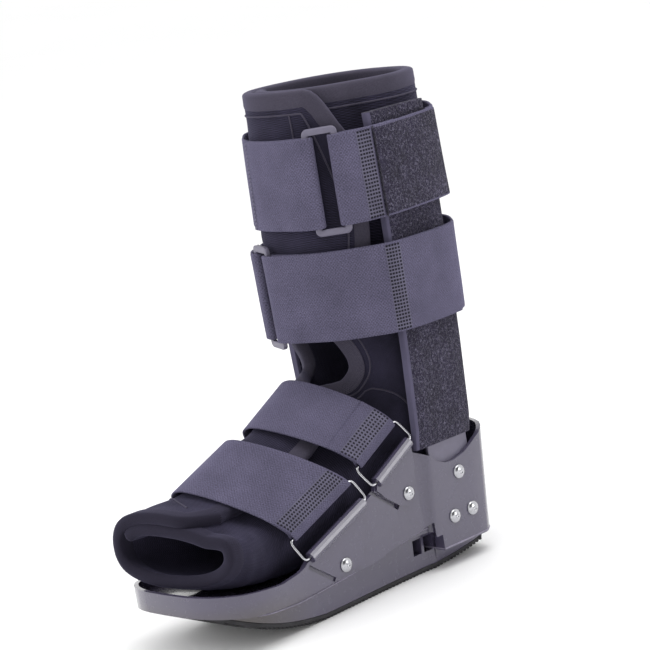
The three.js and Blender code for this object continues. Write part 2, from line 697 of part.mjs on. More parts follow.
function liner() {
  const points = [];
  const wide = linerColumns + 1;
  [0, linerWall].forEach((depth) => {
    for (let j = 0; j <= linerSteps; j += 1) {
      for (let i = 0; i <= linerColumns; i += 1) {
        const { s, angle } = linerPlace(i / linerColumns, j / linerSteps);
        points.push(linerPoint(s, angle, depth));
      }
    }
  });
  const triangles = [];
  const layer = wide * (linerSteps + 1);
  const quad = (a, b, c, d) => triangles.push([a, b, c], [a, c, d]);
  for (let j = 0; j < linerSteps; j += 1) {
    for (let i = 0; i < linerColumns; i += 1) {
      const a = j * wide + i;
      quad(a, a + 1, a + 1 + wide, a + wide);
      quad(layer + a + wide, layer + a + 1 + wide, layer + a + 1, layer + a);
    }
    const [low, high] = [j * wide, (j + 1) * wide];
    quad(low, high, layer + high, layer + low);
    quad(layer + low + linerColumns, layer + high + linerColumns, high + linerColumns, low + linerColumns);
  }
  for (let i = 0; i < linerColumns; i += 1) {
    const top = linerSteps * wide;
    quad(layer + i, layer + i + 1, i + 1, i);
    quad(top + i, top + i + 1, layer + top + i + 1, layer + top + i);
  }
  return bodyFrom(points, triangles);
}

// Webbing: a flat path with thickness

// The outline of a band that follows a path of 2-D points
function bandOutline(path, thickness) {
  const [left, right] = [[], []];
  path.forEach((p, i) => {
    const before = path[Math.max(0, i - 1)];
    const after = path[Math.min(path.length - 1, i + 1)];
    const run = new THREE.Vector2().subVectors(after, before).normalize();
    const out = new THREE.Vector2(-run.y, run.x).multiplyScalar(thickness / 2);
    left.push(new THREE.Vector2().addVectors(p, out));
    right.push(new THREE.Vector2().subVectors(p, out));
  });
  const outline = [...left, ...right.reverse()];
  return THREE.ShapeUtils.isClockWise(outline) ? outline.reverse() : outline;
}

// Leg straps: rings round the leg and its uprights, seen from above

const ringX = legHalfWidth + sleeveThickness;
const strapRings = {
  lower: { halfX: ringX + 2.1, halfY: legHalfDepth + 1.9, low: lowerStrapLevel, lean: 0.02, rise: 0 },
  upper: { halfX: ringX + 1.7, halfY: legHalfDepth + 1.7, low: upperStrapLevel, lean: -0.03, rise: 0.03 },
};
// squareness of the rings: slack over the uprights, drawn in at the front and at the back
const ringFrontPower = 2.05;
const ringSidePower = 2.8;
const ringBackPower = 2.3;
const ringSideTurn = [45, 85];
const ringBackTurn = [112, 138];
function ringPower(angle) {
  const turn = Math.abs(((((angle + 180) % 360) + 360) % 360) - 180);
  return ringFrontPower + (ringSidePower - ringFrontPower) * smooth(...ringSideTurn, turn)
    - (ringSidePower - ringBackPower) * smooth(...ringBackTurn, turn);
}

function ringPoint(ring, angle, offset) {
  const turn = angle * degrees;
  const bend = 2 / ringPower(angle);
  return new THREE.Vector2(
    (ring.halfX + offset) * power(Math.sin(turn), bend),
    legCentre - (ring.halfY + offset) * power(Math.cos(turn), bend),
  );
}

// What lies on a ring leans with it and rises a little towards the back
function settleOnRing(ring, geometry) {
  const place = geometry.attributes.position;
  for (let i = 0; i < place.count; i += 1) {
    const scale = 1 + (ring.lean * (place.getZ(i) - ring.low - legStrapWidth / 2)) / legStrapWidth;
    const y = legCentre + (place.getY(i) - legCentre) * scale;
    place.setXYZ(i, place.getX(i) * scale, y, place.getZ(i) + ring.rise * (y - legCentre));
  }
  return geometry;
}

function strapBody(ring, outline) {
  const geometry = new THREE.ExtrudeGeometry(new THREE.Shape(outline), { depth: legStrapWidth, bevelEnabled: false });
  geometry.translate(0, 0, ring.low);
  return settleOnRing(ring, geometry);
}

const layerInner = webbing / 2;
const layerOuter = webbing * 1.5 + clearance;
const barMiddle = webbing + clearance + buckleThickness / 2;
const foldRadius = buckleThickness / 2 + clearance + webbing / 2;
const barReach = buckleWidth / 2 - buckleBar / 2;      // from the buckle's middle to a bar's middle
const foldTuck = 0.8;       // how far a fold's turn lies inside the bar's edge

// Round a buckle's bar: side +1 opens towards larger angles. Points run from the inner layer to the outer one
function foldPoints(ring, buckleAngle, side) {
  const centre = ringPoint(ring, buckleAngle, barMiddle);
  const outward = new THREE.Vector2().subVectors(ringPoint(ring, buckleAngle, barMiddle + 1), centre).normalize();
  const tangent = new THREE.Vector2(-outward.y, outward.x).multiplyScalar(side);
  const place = (across, lift) => centre.clone().addScaledVector(tangent, across).addScaledVector(outward, lift);
  const turnAt = barReach - buckleBar / 2 + foldTuck;
  const pastBar = barReach + buckleBar / 2 + foldTuck;
  const points = [place(pastBar, -foldRadius)];
  for (let k = 0; k <= 6; k += 1) {
    const turn = (k / 6) * 180 * degrees;
    points.push(place(turnAt - foldRadius * Math.sin(turn), -foldRadius * Math.cos(turn)));
  }
  return [...points, place(pastBar, foldRadius)];
}

const ringStep = 9;

// Points along a ring from one angle to another, at the offset that the function gives
function ringRun(ring, from, to, offset) {
  const count = Math.max(1, Math.round(Math.abs(to - from) / ringStep));
  return Array.from({ length: count + 1 }, (_, i) => {
    const angle = from + ((to - from) * i) / count;
    return ringPoint(ring, angle, offset(angle));
  });
}

const buckleAngles = { lower: -21, upper: 37 };
const nearBuckle = 17;      // degrees between a buckle's middle and the webbing that leaves its bar
const settle = 16;          // degrees over which a folded layer comes down on the one below

// The outer layer is lifted next to the buckle
const outerLift = (buckleAngle, side) => (angle) => {
  const away = side * (angle - buckleAngle) - nearBuckle;
  return layerOuter + (barMiddle + foldRadius - layerOuter) * (1 - smooth(0, settle, away));
};
const innerOffset = () => layerInner;

// The lower strap: outer layer from its free end to the buckle, inner layer all the way round to the other bar
const lowerFreeEnd = 109;
function lowerStrap() {
  const ring = strapRings.lower;
  const at = buckleAngles.lower;
  const path = [
    ...ringRun(ring, lowerFreeEnd, at + nearBuckle, outerLift(at, 1)),
    ...foldPoints(ring, at, 1).reverse(),
    ...ringRun(ring, at + nearBuckle, 360 + at - nearBuckle, innerOffset),
    ...foldPoints(ring, at, -1),
    ...ringRun(ring, 360 + at - nearBuckle, 360 + at - nearBuckle - settle * 1.6, (angle) => outerLift(at, -1)(angle - 360)),
  ];
  return strapBody(ring, bandOutline(path, webbing));
}

// The upper strap: from its sewn end back to the buckle, round the bar and round the leg to the pile patch
const upperSewnEnd = -24;
const patchFrom = 73;
const patchTo = 112;
const tabEnd = 74;
function upperStrap() {
  const ring = strapRings.upper;
  const at = buckleAngles.upper;
  const path = [
    ...ringRun(ring, upperSewnEnd, at - nearBuckle, outerLift(at, -1)),
    ...foldPoints(ring, at, -1).reverse(),
    ...ringRun(ring, at - nearBuckle, patchTo - 4 - 360, innerOffset),
  ];
  return strapBody(ring, bandOutline(path, webbing));
}

function upperTab() {
  const ring = strapRings.upper;
  const at = buckleAngles.upper;
  const path = [
    ...ringRun(ring, tabEnd + 14, at + nearBuckle, innerOffset),
    ...foldPoints(ring, at, 1),
    ...ringRun(ring, at + nearBuckle, patchFrom - 2, outerLift(at, 1)),
  ];
  return strapBody(ring, bandOutline(path, webbing));
}

const patchThickness = 3;
function pilePatch() {
  const ring = strapRings.upper;
  const offset = () => webbing + clearance + patchThickness / 2;
  const path = ringRun(ring, patchFrom, patchTo, offset);
  return strapBody(ring, bandOutline(path, patchThickness));
}

// A flat rectangular loop that touches the ring at the buckle's angle
function buckle(ring, angle) {
  const [w, h] = [buckleWidth / 2, legStrapWidth / 2 + buckleOverhang];
  const corner = 4;
  const shape = new THREE.Shape();
  shape.moveTo(-w + corner, -h);
  shape.lineTo(w - corner, -h);
  shape.absarc(w - corner, -h + corner, corner, -90 * degrees, 0);
  shape.lineTo(w, h - corner);
  shape.absarc(w - corner, h - corner, corner, 0, 90 * degrees);
  shape.lineTo(-w + corner, h);
  shape.absarc(-w + corner, h - corner, corner, 90 * degrees, 180 * degrees);
  shape.lineTo(-w, -h + corner);
  shape.absarc(-w + corner, -h + corner, corner, 180 * degrees, 270 * degrees);
  const [slotW, slotH] = [w - buckleBar, legStrapWidth / 2 + 1];
  const slot = new THREE.Path();
  slot.moveTo(-slotW, -slotH);
  slot.lineTo(-slotW, slotH);
  slot.lineTo(slotW, slotH);
  slot.lineTo(slotW, -slotH);
  slot.closePath();
  shape.holes.push(slot);
  const geometry = new THREE.ExtrudeGeometry(shape, { depth: buckleThickness, bevelEnabled: false, curveSegments: 3 });
  geometry.translate(0, 0, -buckleThickness / 2);
  const centre = ringPoint(ring, angle, barMiddle);
  const outward = new THREE.Vector2().subVectors(ringPoint(ring, angle, barMiddle + 1), centre).normalize();
  const basis = new THREE.Matrix4().makeBasis(
    new THREE.Vector3(-outward.y, outward.x, 0), new THREE.Vector3(0, 0, 1), new THREE.Vector3(outward.x, outward.y, 0));
  geometry.applyMatrix4(basis);
  geometry.translate(centre.x, centre.y, ring.low + legStrapWidth / 2);
  return settleOnRing(ring, geometry);
}

// Foot straps: bands between the two wire loops of a pair, over the liner

// crest: front and rear edge at the top of the foot, along the foot and share of the liner's levels
const footStraps = [
  { name: 'foot_strap_front', tube: tubes[0], crest: [[0.151, 0.576], [0.344, 0.745]] },
  { name: 'foot_strap_rear', tube: tubes[1], crest: [[0.410, 0.768], [0.563, 0.950]] },
];
const strapEdgeGap = 3.5;       // between a strap's edge and the loop's corner
const foldTail = 24;          // length of the folded end under the strap, from the bar
const wireFold = wireRadius + clearance + footStrapWebbing / 2;
const crownPower = 1.7;
const crownLean = 14;         // how far the crest leans to the inner side
const shoulder = 0.9;         // how far the strap bulges past its loops
const shoulderShare = 0.08;    // where it is widest, as a share of its height
const foldSteps = 4;

// The path of a foot strap in its own plane: x across, h up from the loops' bars
function footStrapPath(halfSpan, height) {
  const wide = halfSpan + wireFold + shoulder;
  const widest = height * shoulderShare;
  const outerX = (h) => (h <= widest
    ? halfSpan + wireFold + shoulder * smooth(0, widest, h)
    : wide * (1 - ((h - widest) / (height - widest)) ** crownPower) ** (1 / crownPower));
  const closed = footStrapWebbing + 2 * clearance;
  const tailX = (h) => outerX(h) - closed - (2 * wireFold - closed) * (1 - smooth(0, 3 * wireFold, h));
  const side = [];
  for (let i = foldSteps; i > 0; i -= 1) {
    const h = (i / foldSteps) * foldTail;
    side.push(new THREE.Vector2(tailX(h), h));
  }
  for (let i = 0; i <= foldSteps; i += 1) {
    const turn = (i / foldSteps) * 180 * degrees;
    side.push(new THREE.Vector2(halfSpan - wireFold * Math.cos(turn), -wireFold * Math.sin(turn)));
  }
  side.push(new THREE.Vector2(outerX(widest / 2), widest / 2));
  const crown = [];
  const crownSteps = 18;
  for (let i = 0; i <= crownSteps; i += 1) {
    const turn = (i / crownSteps) * 180 * degrees;
    const climb = power(Math.sin(turn), 2 / crownPower);
    const across = wide * power(Math.cos(turn), 2 / crownPower) - crownLean * climb ** 2;
    crown.push(new THREE.Vector2(across, widest + (height - widest) * climb));
  }
  const other = side.slice().reverse().map((p) => new THREE.Vector2(-p.x, p.y));
  return [...side, ...crown, ...other];
}

function footStrap(strap) {
  const { run, corners } = loopCorners(strap.tube);
  const edges = [
    corners[3].clone().addScaledVector(run, strapEdgeGap),
    corners[2].clone().addScaledVector(run, -strapEdgeGap),
  ];
  const rings = [];
  let flat = null;
  edges.forEach((base, i) => {
    const crest = new THREE.Vector2(along(strap.crest[i][0]), level(strap.crest[i][1]));
    const rise = new THREE.Vector2(crest.x - base.y, crest.y - base.z);
    const height = rise.length();
    rise.normalize();
    const outline = bandOutline(footStrapPath(base.x, height), footStrapWebbing);
    flat = flat ?? outline;
    rings.push(outline.map((p) => new THREE.Vector3(p.x, base.y + p.y * rise.x, base.z + p.y * rise.y)));
  });
  const middle = rings[0].map((p, i) => p.clone().add(rings[1][i]).multiplyScalar(0.5));
  const caps = THREE.ShapeUtils.triangulateShape(flat, []);
  return loft([rings[0], middle, rings[1]], caps);
}

// Assembly

addPart('outsole', outsole(), new THREE.MeshStandardMaterial({ color: rubberColor, roughness: 0.8, metalness: 0 }));
addPart('shell', shell(), plastic(shellColor));
addPart('liner', liner(), cloth(linerColor));

const sides = [
  { name: 'lateral', place: (geometry) => geometry },
  { name: 'medial', place: flipped },
];
sides.forEach(({ name, place }) => {
  addPart(`stay_${name}`, place(stay()), plastic(buckleColor));
  addPart(`sleeve_${name}`, place(sleeve()), cloth(pileColor));
  tubes.forEach((tube) => addPart(`wire_loop_${tube.name}_${name}`, place(wireLoop(tube)), metal()));
  rivets.forEach((rivet) => addPart(`rivet_${rivet.name}_${name}`, place(rivetBody(rivet)), metal()));
});
footStraps.forEach((strap) => addPart(strap.name, footStrap(strap), cloth(webbingColor)));
addPart('leg_strap_lower', lowerStrap(), cloth(webbingColor));
addPart('leg_strap_upper', upperStrap(), cloth(webbingColor));
addPart('leg_strap_upper_tab', upperTab(), cloth(webbingColor));
addPart('pile_patch', pilePatch(), cloth(pileColor));
addPart('buckle_lower', buckle(strapRings.lower, buckleAngles.lower), plastic(buckleColor));
addPart('buckle_upper', buckle(strapRings.upper, buckleAngles.upper), plastic(buckleColor));

export default boot;
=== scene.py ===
# %% [markdown]
# # A walking boot, dressed in Blender
# The boot is a rocker shell of glossy moulded plastic that holds a padded fabric liner. Two uprights in
# pile sleeves run up the sides, and four grey straps close it. The measured solids are
# loaded first and never move: each fine piece below is made round them, in metres, in the same frame.

# %% Load the measured frame
import math

import bmesh
import bpy
import numpy as np
from mathutils import Matrix, Vector
from mathutils.bvhtree import BVHTree


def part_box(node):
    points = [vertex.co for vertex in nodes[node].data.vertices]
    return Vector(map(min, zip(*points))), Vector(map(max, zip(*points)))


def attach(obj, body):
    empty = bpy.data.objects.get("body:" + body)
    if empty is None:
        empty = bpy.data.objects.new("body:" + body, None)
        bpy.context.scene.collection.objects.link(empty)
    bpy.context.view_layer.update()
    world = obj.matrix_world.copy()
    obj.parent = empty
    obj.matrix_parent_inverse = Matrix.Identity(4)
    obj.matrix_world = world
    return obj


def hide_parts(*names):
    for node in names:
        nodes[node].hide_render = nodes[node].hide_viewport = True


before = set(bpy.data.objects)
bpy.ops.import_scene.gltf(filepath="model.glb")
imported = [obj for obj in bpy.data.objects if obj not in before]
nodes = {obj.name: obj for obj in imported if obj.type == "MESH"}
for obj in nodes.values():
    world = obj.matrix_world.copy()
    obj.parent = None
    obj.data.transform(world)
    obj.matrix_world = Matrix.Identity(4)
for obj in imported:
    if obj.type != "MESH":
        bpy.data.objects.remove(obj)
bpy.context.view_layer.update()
bpy.ops.object.select_all(action="DESELECT")
mm = 0.001

# %% [markdown]
# ## Small tools
# A few habits repeat for every piece, so they are written once: pick one object, apply a modifier, take a
# clean copy of a measured solid, and hand a finished piece over with its finish and its place.


# %% Pick, modify and hand over
def pick(obj):
    bpy.ops.object.select_all(action="DESELECT")
    obj.select_set(True)
    bpy.context.view_layer.objects.active = obj
    return obj


def modify(obj, kind, **settings):
    pick(obj)
    modifier = obj.modifiers.new(kind.title(), kind)
    for name, value in settings.items():
        setattr(modifier, name, value)
    bpy.ops.object.modifier_apply(modifier=modifier.name)
    return obj


def soften(obj, width, segments=2, angle=30):
    """Rounds every edge that is sharper than an angle."""
    limit = math.radians(angle)
    return modify(obj, "BEVEL", width=width, segments=segments, limit_method="ANGLE", angle_limit=limit)


def join_flat_faces(obj, angle):
    """Dissolves the edges between faces that lie flat to each other within an angle."""
    pick(obj)
    bpy.ops.object.mode_set(mode="EDIT")
    bpy.ops.mesh.select_all(action="SELECT")
    bpy.ops.mesh.dissolve_limited(angle_limit=math.radians(angle))
    bpy.ops.object.mode_set(mode="OBJECT")
    return obj


def smooth_shading(obj, angle=40):
    pick(obj)
    bpy.ops.object.shade_smooth_by_angle(angle=math.radians(angle))
    return obj


def clean_copy(node, name):
    """A copy of a measured solid, with its loose triangles merged and flat faces joined."""
    source = nodes[node]
    obj = bpy.data.objects.new(name, source.data.copy())
    bpy.context.scene.collection.objects.link(obj)
    obj.data.materials.clear()
    pick(obj)
    bpy.ops.object.mode_set(mode="EDIT")
    bpy.ops.mesh.select_all(action="SELECT")
    bpy.ops.mesh.remove_doubles(threshold=0.01 * mm)
    bpy.ops.mesh.tris_convert_to_quads(face_threshold=math.radians(40), shape_threshold=math.radians(60))
    bpy.ops.object.mode_set(mode="OBJECT")
    return obj


def hand_over(obj, material, slot, *stands_for):
    obj.data.materials.clear()
    obj.data.materials.append(material)
    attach(obj, "root")
    if stands_for:
        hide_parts(*stands_for)
    return obj


def mesh_piece(name, points, faces):
    mesh = bpy.data.meshes.new(name)
    mesh.from_pydata([tuple(p) for p in points], [], [tuple(int(i) for i in f) for f in faces])
    mesh.validate()
    obj = bpy.data.objects.new(name, mesh)
    bpy.context.scene.collection.objects.link(obj)
    return obj


def swept(name, rings, closed=False):
    """A skin over rings of points, joined to a loop or capped at both ends."""
    stations, size = rings.shape[:2]
    faces = []
    for i in range(stations if closed else stations - 1):
        following = (i + 1) % stations
        for k in range(size):
            after = (k + 1) % size
            faces.append((i * size + k, i * size + after, following * size + after, following * size + k))
    if not closed:
        faces.append(tuple(range(size))[::-1])
        faces.append(tuple(range((stations - 1) * size, stations * size)))
    return mesh_piece(name, rings.reshape(-1, 3), faces)


def face_outward(obj):
    bm = bmesh.new()
    bm.from_mesh(obj.data)
    bmesh.ops.recalc_face_normals(bm, faces=bm.faces)
    bm.to_mesh(obj.data)
    bm.free()
    return obj


def unit(vectors):
    return vectors / np.linalg.norm(vectors, axis=-1)[..., None]


def lengths_along(points):
    """The run along a path at each of its points, from the first one."""
    steps = np.linalg.norm(np.diff(points, axis=0), axis=1)
    return np.concatenate([[0], np.cumsum(steps)])


def count(obj):
    return sum(len(p.vertices) - 2 for p in obj.data.polygons)


# %% [markdown]
# ## Camera
# The view is from the outer front, a little above the boot, through a long lens. Its three axes and its
# place were worked out from the real sizes of the parts that show.

# %% Make the camera
camera_place = Vector((1.2339, -1.0893, 0.4872))
camera_right = Vector((0.6853, 0.7095, -0.1642))
camera_up = Vector((-0.0215, 0.2451, 0.9693))
camera_back = camera_right.cross(camera_up).normalized()
camera_data = bpy.data.cameras.new("camera")
camera_data.lens = 139.5
camera_data.sensor_width = 36
camera = bpy.data.objects.new("camera", camera_data)
axes = Matrix((camera_right, camera_up, camera_back)).transposed()
camera.matrix_world = Matrix.Translation(camera_place) @ axes.to_4x4()
bpy.context.scene.collection.objects.link(camera)
bpy.context.scene.camera = camera
print("camera distance in m:", round(camera_place.length, 2))

# %% [markdown]
# ## Light and floor
# Product pictures of black goods are lit by large white surfaces, so that gloss shows as long soft bands.
# The world is a bright dome with one dark patch to the outer side, which keeps the shell's gloss deep there.
# Two big panels add shape from the left and from above, and a narrow one draws the highlights of the rims.
# The floor is pale and far wider than the picture.

# %% Set up the studio
scene = bpy.context.scene
scene.view_settings.view_transform = "Standard"
world = bpy.data.worlds.new("studio")
scene.world = world
world.use_nodes = True
backdrop = world.node_tree
dark_patch = Vector((0.86, -0.12, 0.5)).normalized()
patch_edge = (0.80, 0.95)
patch_tone = (1.0, 0.12)
dome_strength = 1.17
sky = backdrop.nodes.new("ShaderNodeTexCoord")
nearness = backdrop.nodes.new("ShaderNodeVectorMath")
nearness.operation = "DOT_PRODUCT"
nearness.inputs[1].default_value = dark_patch
fade = backdrop.nodes.new("ShaderNodeMapRange")
for index, value in enumerate((*patch_edge, *patch_tone), start=1):
    fade.inputs[index].default_value = value
backdrop.links.new(sky.outputs["Generated"], nearness.inputs[0])
backdrop.links.new(nearness.outputs["Value"], fade.inputs["Value"])
backdrop.links.new(fade.outputs[0], backdrop.nodes["Background"].inputs["Color"])
backdrop.nodes["Background"].inputs["Strength"].default_value = dome_strength


def panel(name, place, size, power):
    data = bpy.data.lights.new(name, "AREA")
    data.shape = "RECTANGLE"
    data.size, data.size_y = size
    data.energy = power
    light = bpy.data.objects.new(name, data)
    towards_boot = Vector((0, 0, 0.15)) - Vector(place)
    light.location = place
    light.rotation_euler = towards_boot.to_track_quat("-Z", "Y").to_euler()
    bpy.context.scene.collection.objects.link(light)
    return light


panel("left_panel", (-0.9, -1.5, 0.9), (0.9, 1.4), 7)
panel("top_panel", (0.5, 0.1, 1.8), (1.2, 1.2), 14)
panel("right_panel", (1.7, 0.9, 0.25), (0.5, 0.8), 6)

bpy.ops.mesh.primitive_plane_add(size=60)
floor = bpy.context.active_object
floor.name = "floor"

# %% [markdown]
# ## Shared shader groups
# Several finishes need the same small effects, so each effect is a node group with named sockets. Cloth and
# plastic both vary a little in tone (mottle); webbing and liner show threads (threads); pile is a mat of
# tiny curls (curls).


# %% Node helpers
def wire(tree, kind, settings=None, **inputs):
    """Adds a node, sets it up and links or fills its inputs by name."""
    node = tree.nodes.new(kind)
    for name, value in (settings or {}).items():
        setattr(node, name, value)
    for name, value in inputs.items():
        key = int(name[1:]) if name[0] == "n" and name[1:].isdigit() else name.replace("_", " ")
        socket = node.inputs[key]
        if isinstance(value, bpy.types.NodeSocket):
            tree.links.new(value, socket)
        else:
            socket.default_value = value
    return node


def maths(tree, operation, a, b=0.0):
    return wire(tree, "ShaderNodeMath", {"operation": operation}, n0=a, n1=b).outputs[0]


def group(name, inputs, outputs):
    """A new node group with its sockets; the inputs are (name, type, default)."""
    tree = bpy.data.node_groups.new(name, "ShaderNodeTree")
    for label, kind, default in inputs:
        socket = tree.interface.new_socket(label, in_out="INPUT", socket_type=kind)
        if default is not None:
            socket.default_value = default
    for label, kind in outputs:
        tree.interface.new_socket(label, in_out="OUTPUT", socket_type=kind)
    entry = tree.nodes.new("NodeGroupInput")
    leave = tree.nodes.new("NodeGroupOutput")
    return tree, entry.outputs, leave.inputs


def use(tree, shared, **inputs):
    return wire(tree, "ShaderNodeGroup", {"node_tree": shared}, **inputs)


# %% Mottle: slow changes of tone
mottle, given, result = group(
    "mottle",
    [("Vector", "NodeSocketVector", None), ("Scale", "NodeSocketFloat", 60.0),
     ("Low", "NodeSocketFloat", 0.85), ("High", "NodeSocketFloat", 1.15)],
    [("Shade", "NodeSocketFloat")],
)
cloud = wire(
    mottle, "ShaderNodeTexNoise", Vector=given["Vector"], Scale=given["Scale"], Detail=4.0, Roughness=0.6
)
spread = wire(
    mottle, "ShaderNodeMapRange", n0=cloud.outputs["Fac"], n1=0.3, n2=0.7, n3=given["Low"], n4=given["High"]
)
mottle.links.new(spread.outputs[0], result["Shade"])

# %% Threads: crossing yarns, with loose fibres on top
threads, given, result = group(
    "threads",
    [("Vector", "NodeSocketVector", None), ("Across", "NodeSocketFloat", 900.0),
     ("Along", "NodeSocketFloat", 900.0), ("Fuzz", "NodeSocketFloat", 0.5)],
    [("Height", "NodeSocketFloat"), ("Fleck", "NodeSocketFloat")],
)
apart = wire(threads, "ShaderNodeSeparateXYZ", Vector=given["Vector"])
ripples = []
for axis, rate in (("X", "Across"), ("Y", "Along")):
    turns = maths(threads, "MULTIPLY", apart.outputs[axis], given[rate])
    ripples.append(maths(threads, "SINE", maths(threads, "MULTIPLY", turns, math.tau)))
yarn = maths(threads, "MULTIPLY_ADD", maths(threads, "MULTIPLY", ripples[0], ripples[1]), 0.5)
threads.nodes[-1].inputs[2].default_value = 0.5
fibre = wire(threads, "ShaderNodeTexNoise", Vector=given["Vector"], Scale=1050.0, Detail=4.0, Roughness=0.75)
blend = wire(
    threads, "ShaderNodeMix", {"data_type": "FLOAT"}, n0=given["Fuzz"], n2=yarn, n3=fibre.outputs["Fac"]
)
threads.links.new(blend.outputs[0], result["Height"])
threads.links.new(fibre.outputs["Fac"], result["Fleck"])

# %% Curls: the loops of pile cloth
curls, given, result = group(
    "curls",
    [("Vector", "NodeSocketVector", None), ("Scale", "NodeSocketFloat", 900.0)],
    [("Height", "NodeSocketFloat"), ("Fleck", "NodeSocketFloat")],
)
bend = wire(
    curls, "ShaderNodeTexNoise", Vector=given["Vector"], Scale=given["Scale"],
    Detail=3.0, Roughness=0.75, Distortion=1.2,
)
cell = wire(curls, "ShaderNodeTexVoronoi", Vector=given["Vector"], Scale=given["Scale"])
mixed = maths(curls, "MULTIPLY", bend.outputs["Fac"], maths(curls, "SUBTRACT", 1.1, cell.outputs["Distance"]))
# Where the curls rise: the mask for the painted highlight on their tops
fleck = wire(curls, "ShaderNodeMapRange", n0=bend.outputs["Fac"], n1=0.50, n2=0.72)
curls.links.new(mixed, result["Height"])
curls.links.new(fleck.outputs[0], result["Fleck"])

# %% [markdown]
# ## Finishes
# Each finish is its own material round one Principled shader. Colours are dark greys with a blue-violet
# cast, and the flat numbers (sheen, coat) are set on the shader itself.


# %% Material helper
def finish(name, colour, roughness, **flat):
    material = bpy.data.materials.new(name)
    material.use_nodes = True
    tree = material.node_tree
    shader = tree.nodes["Principled BSDF"]
    shader.inputs["Base Color"].default_value = (*colour, 1)
    shader.inputs["Roughness"].default_value = roughness
    for label, value in flat.items():
        shader.inputs[label.replace("_", " ")].default_value = value
    place = tree.nodes.new("ShaderNodeTexCoord")
    return material, tree, shader, place


def tone(tree, shader, shade, colour):
    """Multiplies a colour by a varying value and feeds the shader."""
    scaled = wire(tree, "ShaderNodeVectorMath", {"operation": "SCALE"}, n0=colour)
    tree.links.new(shade, scaled.inputs["Scale"])
    tree.links.new(scaled.outputs[0], shader.inputs["Base Color"])


def relief(tree, shader, height, depth, strength=1.0):
    bump = wire(tree, "ShaderNodeBump", Height=height, Strength=strength, Distance=depth)
    tree.links.new(bump.outputs[0], shader.inputs["Normal"])


# %% Plain studio floor
floor_colour = (0.95, 0.95, 0.95)
floor_paint, tree, shader, place = finish("pale_floor", floor_colour, 0.9)
shade = use(tree, mottle, Vector=place.outputs["Object"], Scale=0.7, Low=0.985, High=1.0)
tone(tree, shader, shade.outputs["Shade"], floor_colour)
floor.data.materials.append(floor_paint)

# %% Glossy moulded shell, with a painted brownish reflection low down at the toe
shell_colour = (0.062, 0.054, 0.092)
toe_reflection_colour = (0.058, 0.048, 0.046)
tint_length = (-60 * mm, -115 * mm)
tint_height = (36 * mm, 20 * mm)
shell_gloss, tree, shader, place = finish(
    "shell_gloss", shell_colour, 0.24, Coat_Weight=0.7, Coat_Roughness=0.07
)
shade = use(tree, mottle, Vector=place.outputs["Object"], Scale=9.0, Low=0.93, High=1.07)
axis_of = wire(tree, "ShaderNodeSeparateXYZ", Vector=place.outputs["Object"]).outputs
towards_toe = wire(tree, "ShaderNodeMapRange", n0=axis_of["Y"], n1=tint_length[0], n2=tint_length[1])
towards_sole = wire(tree, "ShaderNodeMapRange", n0=axis_of["Z"], n1=tint_height[0], n2=tint_height[1])
# Low at the toe the colour turns browner: a painted reflection of darker, brownish surroundings
reflection_at_toe = maths(tree, "MULTIPLY", towards_toe.outputs[0], towards_sole.outputs[0])
tinted = wire(
    tree, "ShaderNodeMix", {"data_type": "RGBA"}, n0=reflection_at_toe, n6=(*shell_colour, 1), n7=(*toe_reflection_colour, 1)
)
tone(tree, shader, shade.outputs["Shade"], tinted.outputs[2])
haze = wire(
    tree, "ShaderNodeTexNoise", Vector=place.outputs["Object"], Scale=180.0, Detail=5.0, Roughness=0.7
)
dull = wire(tree, "ShaderNodeMapRange", n0=haze.outputs["Fac"], n1=0.3, n2=0.7, n3=0.20, n4=0.30)
tree.links.new(dull.outputs[0], shader.inputs["Roughness"])
grain = wire(tree, "ShaderNodeTexNoise", Vector=place.outputs["Object"], Scale=22.0, Detail=1.0)
relief(tree, shader, grain.outputs["Fac"], 0.25 * mm)

# %% Painted highlight along the shell's edges
edge_highlight_colour = (0.20, 0.18, 0.25)
painted_edge_highlight, tree, shader, place = finish("painted_edge_highlight", edge_highlight_colour, 0.35)
shade = use(tree, mottle, Vector=place.outputs["Object"], Scale=40.0, Low=0.6, High=1.3)
tone(tree, shader, shade.outputs["Shade"], edge_highlight_colour)

# %% Rubber of the outsole
rubber_colour = (0.018, 0.017, 0.020)
rubber, tree, shader, place = finish("sole_rubber", rubber_colour, 0.75)
shade = use(tree, mottle, Vector=place.outputs["Object"], Scale=120.0, Low=0.7, High=1.5)
tone(tree, shader, shade.outputs["Shade"], rubber_colour)
grain = wire(tree, "ShaderNodeTexNoise", Vector=place.outputs["Object"], Scale=1400.0, Detail=3.0)
relief(tree, shader, grain.outputs["Fac"], 0.15 * mm)

# %% Nickel of the wires and rivets
nickel_colour = (0.50, 0.50, 0.53)
nickel, tree, shader, place = finish("bright_nickel", nickel_colour, 0.16, Metallic=1.0)
shade = use(tree, mottle, Vector=place.outputs["Object"], Scale=900.0, Low=0.8, High=1.05)
tone(tree, shader, shade.outputs["Shade"], nickel_colour)
scratch = wire(tree, "ShaderNodeTexNoise", Vector=place.outputs["Object"], Scale=2500.0, Detail=4.0)
rough = wire(tree, "ShaderNodeMapRange", n0=scratch.outputs["Fac"], n1=0.35, n2=0.65, n3=0.1, n4=0.26)
tree.links.new(rough.outputs[0], shader.inputs["Roughness"])

# %% Satin plastic of buckles and uprights
satin_colour = (0.125, 0.115, 0.165)
satin, tree, shader, place = finish("satin_plastic", satin_colour, 0.42)
shade = use(tree, mottle, Vector=place.outputs["Object"], Scale=90.0, Low=0.92, High=1.08)
tone(tree, shader, shade.outputs["Shade"], satin_colour)
grain = wire(tree, "ShaderNodeTexNoise", Vector=place.outputs["Object"], Scale=1800.0, Detail=2.0)
relief(tree, shader, grain.outputs["Fac"], 0.04 * mm)


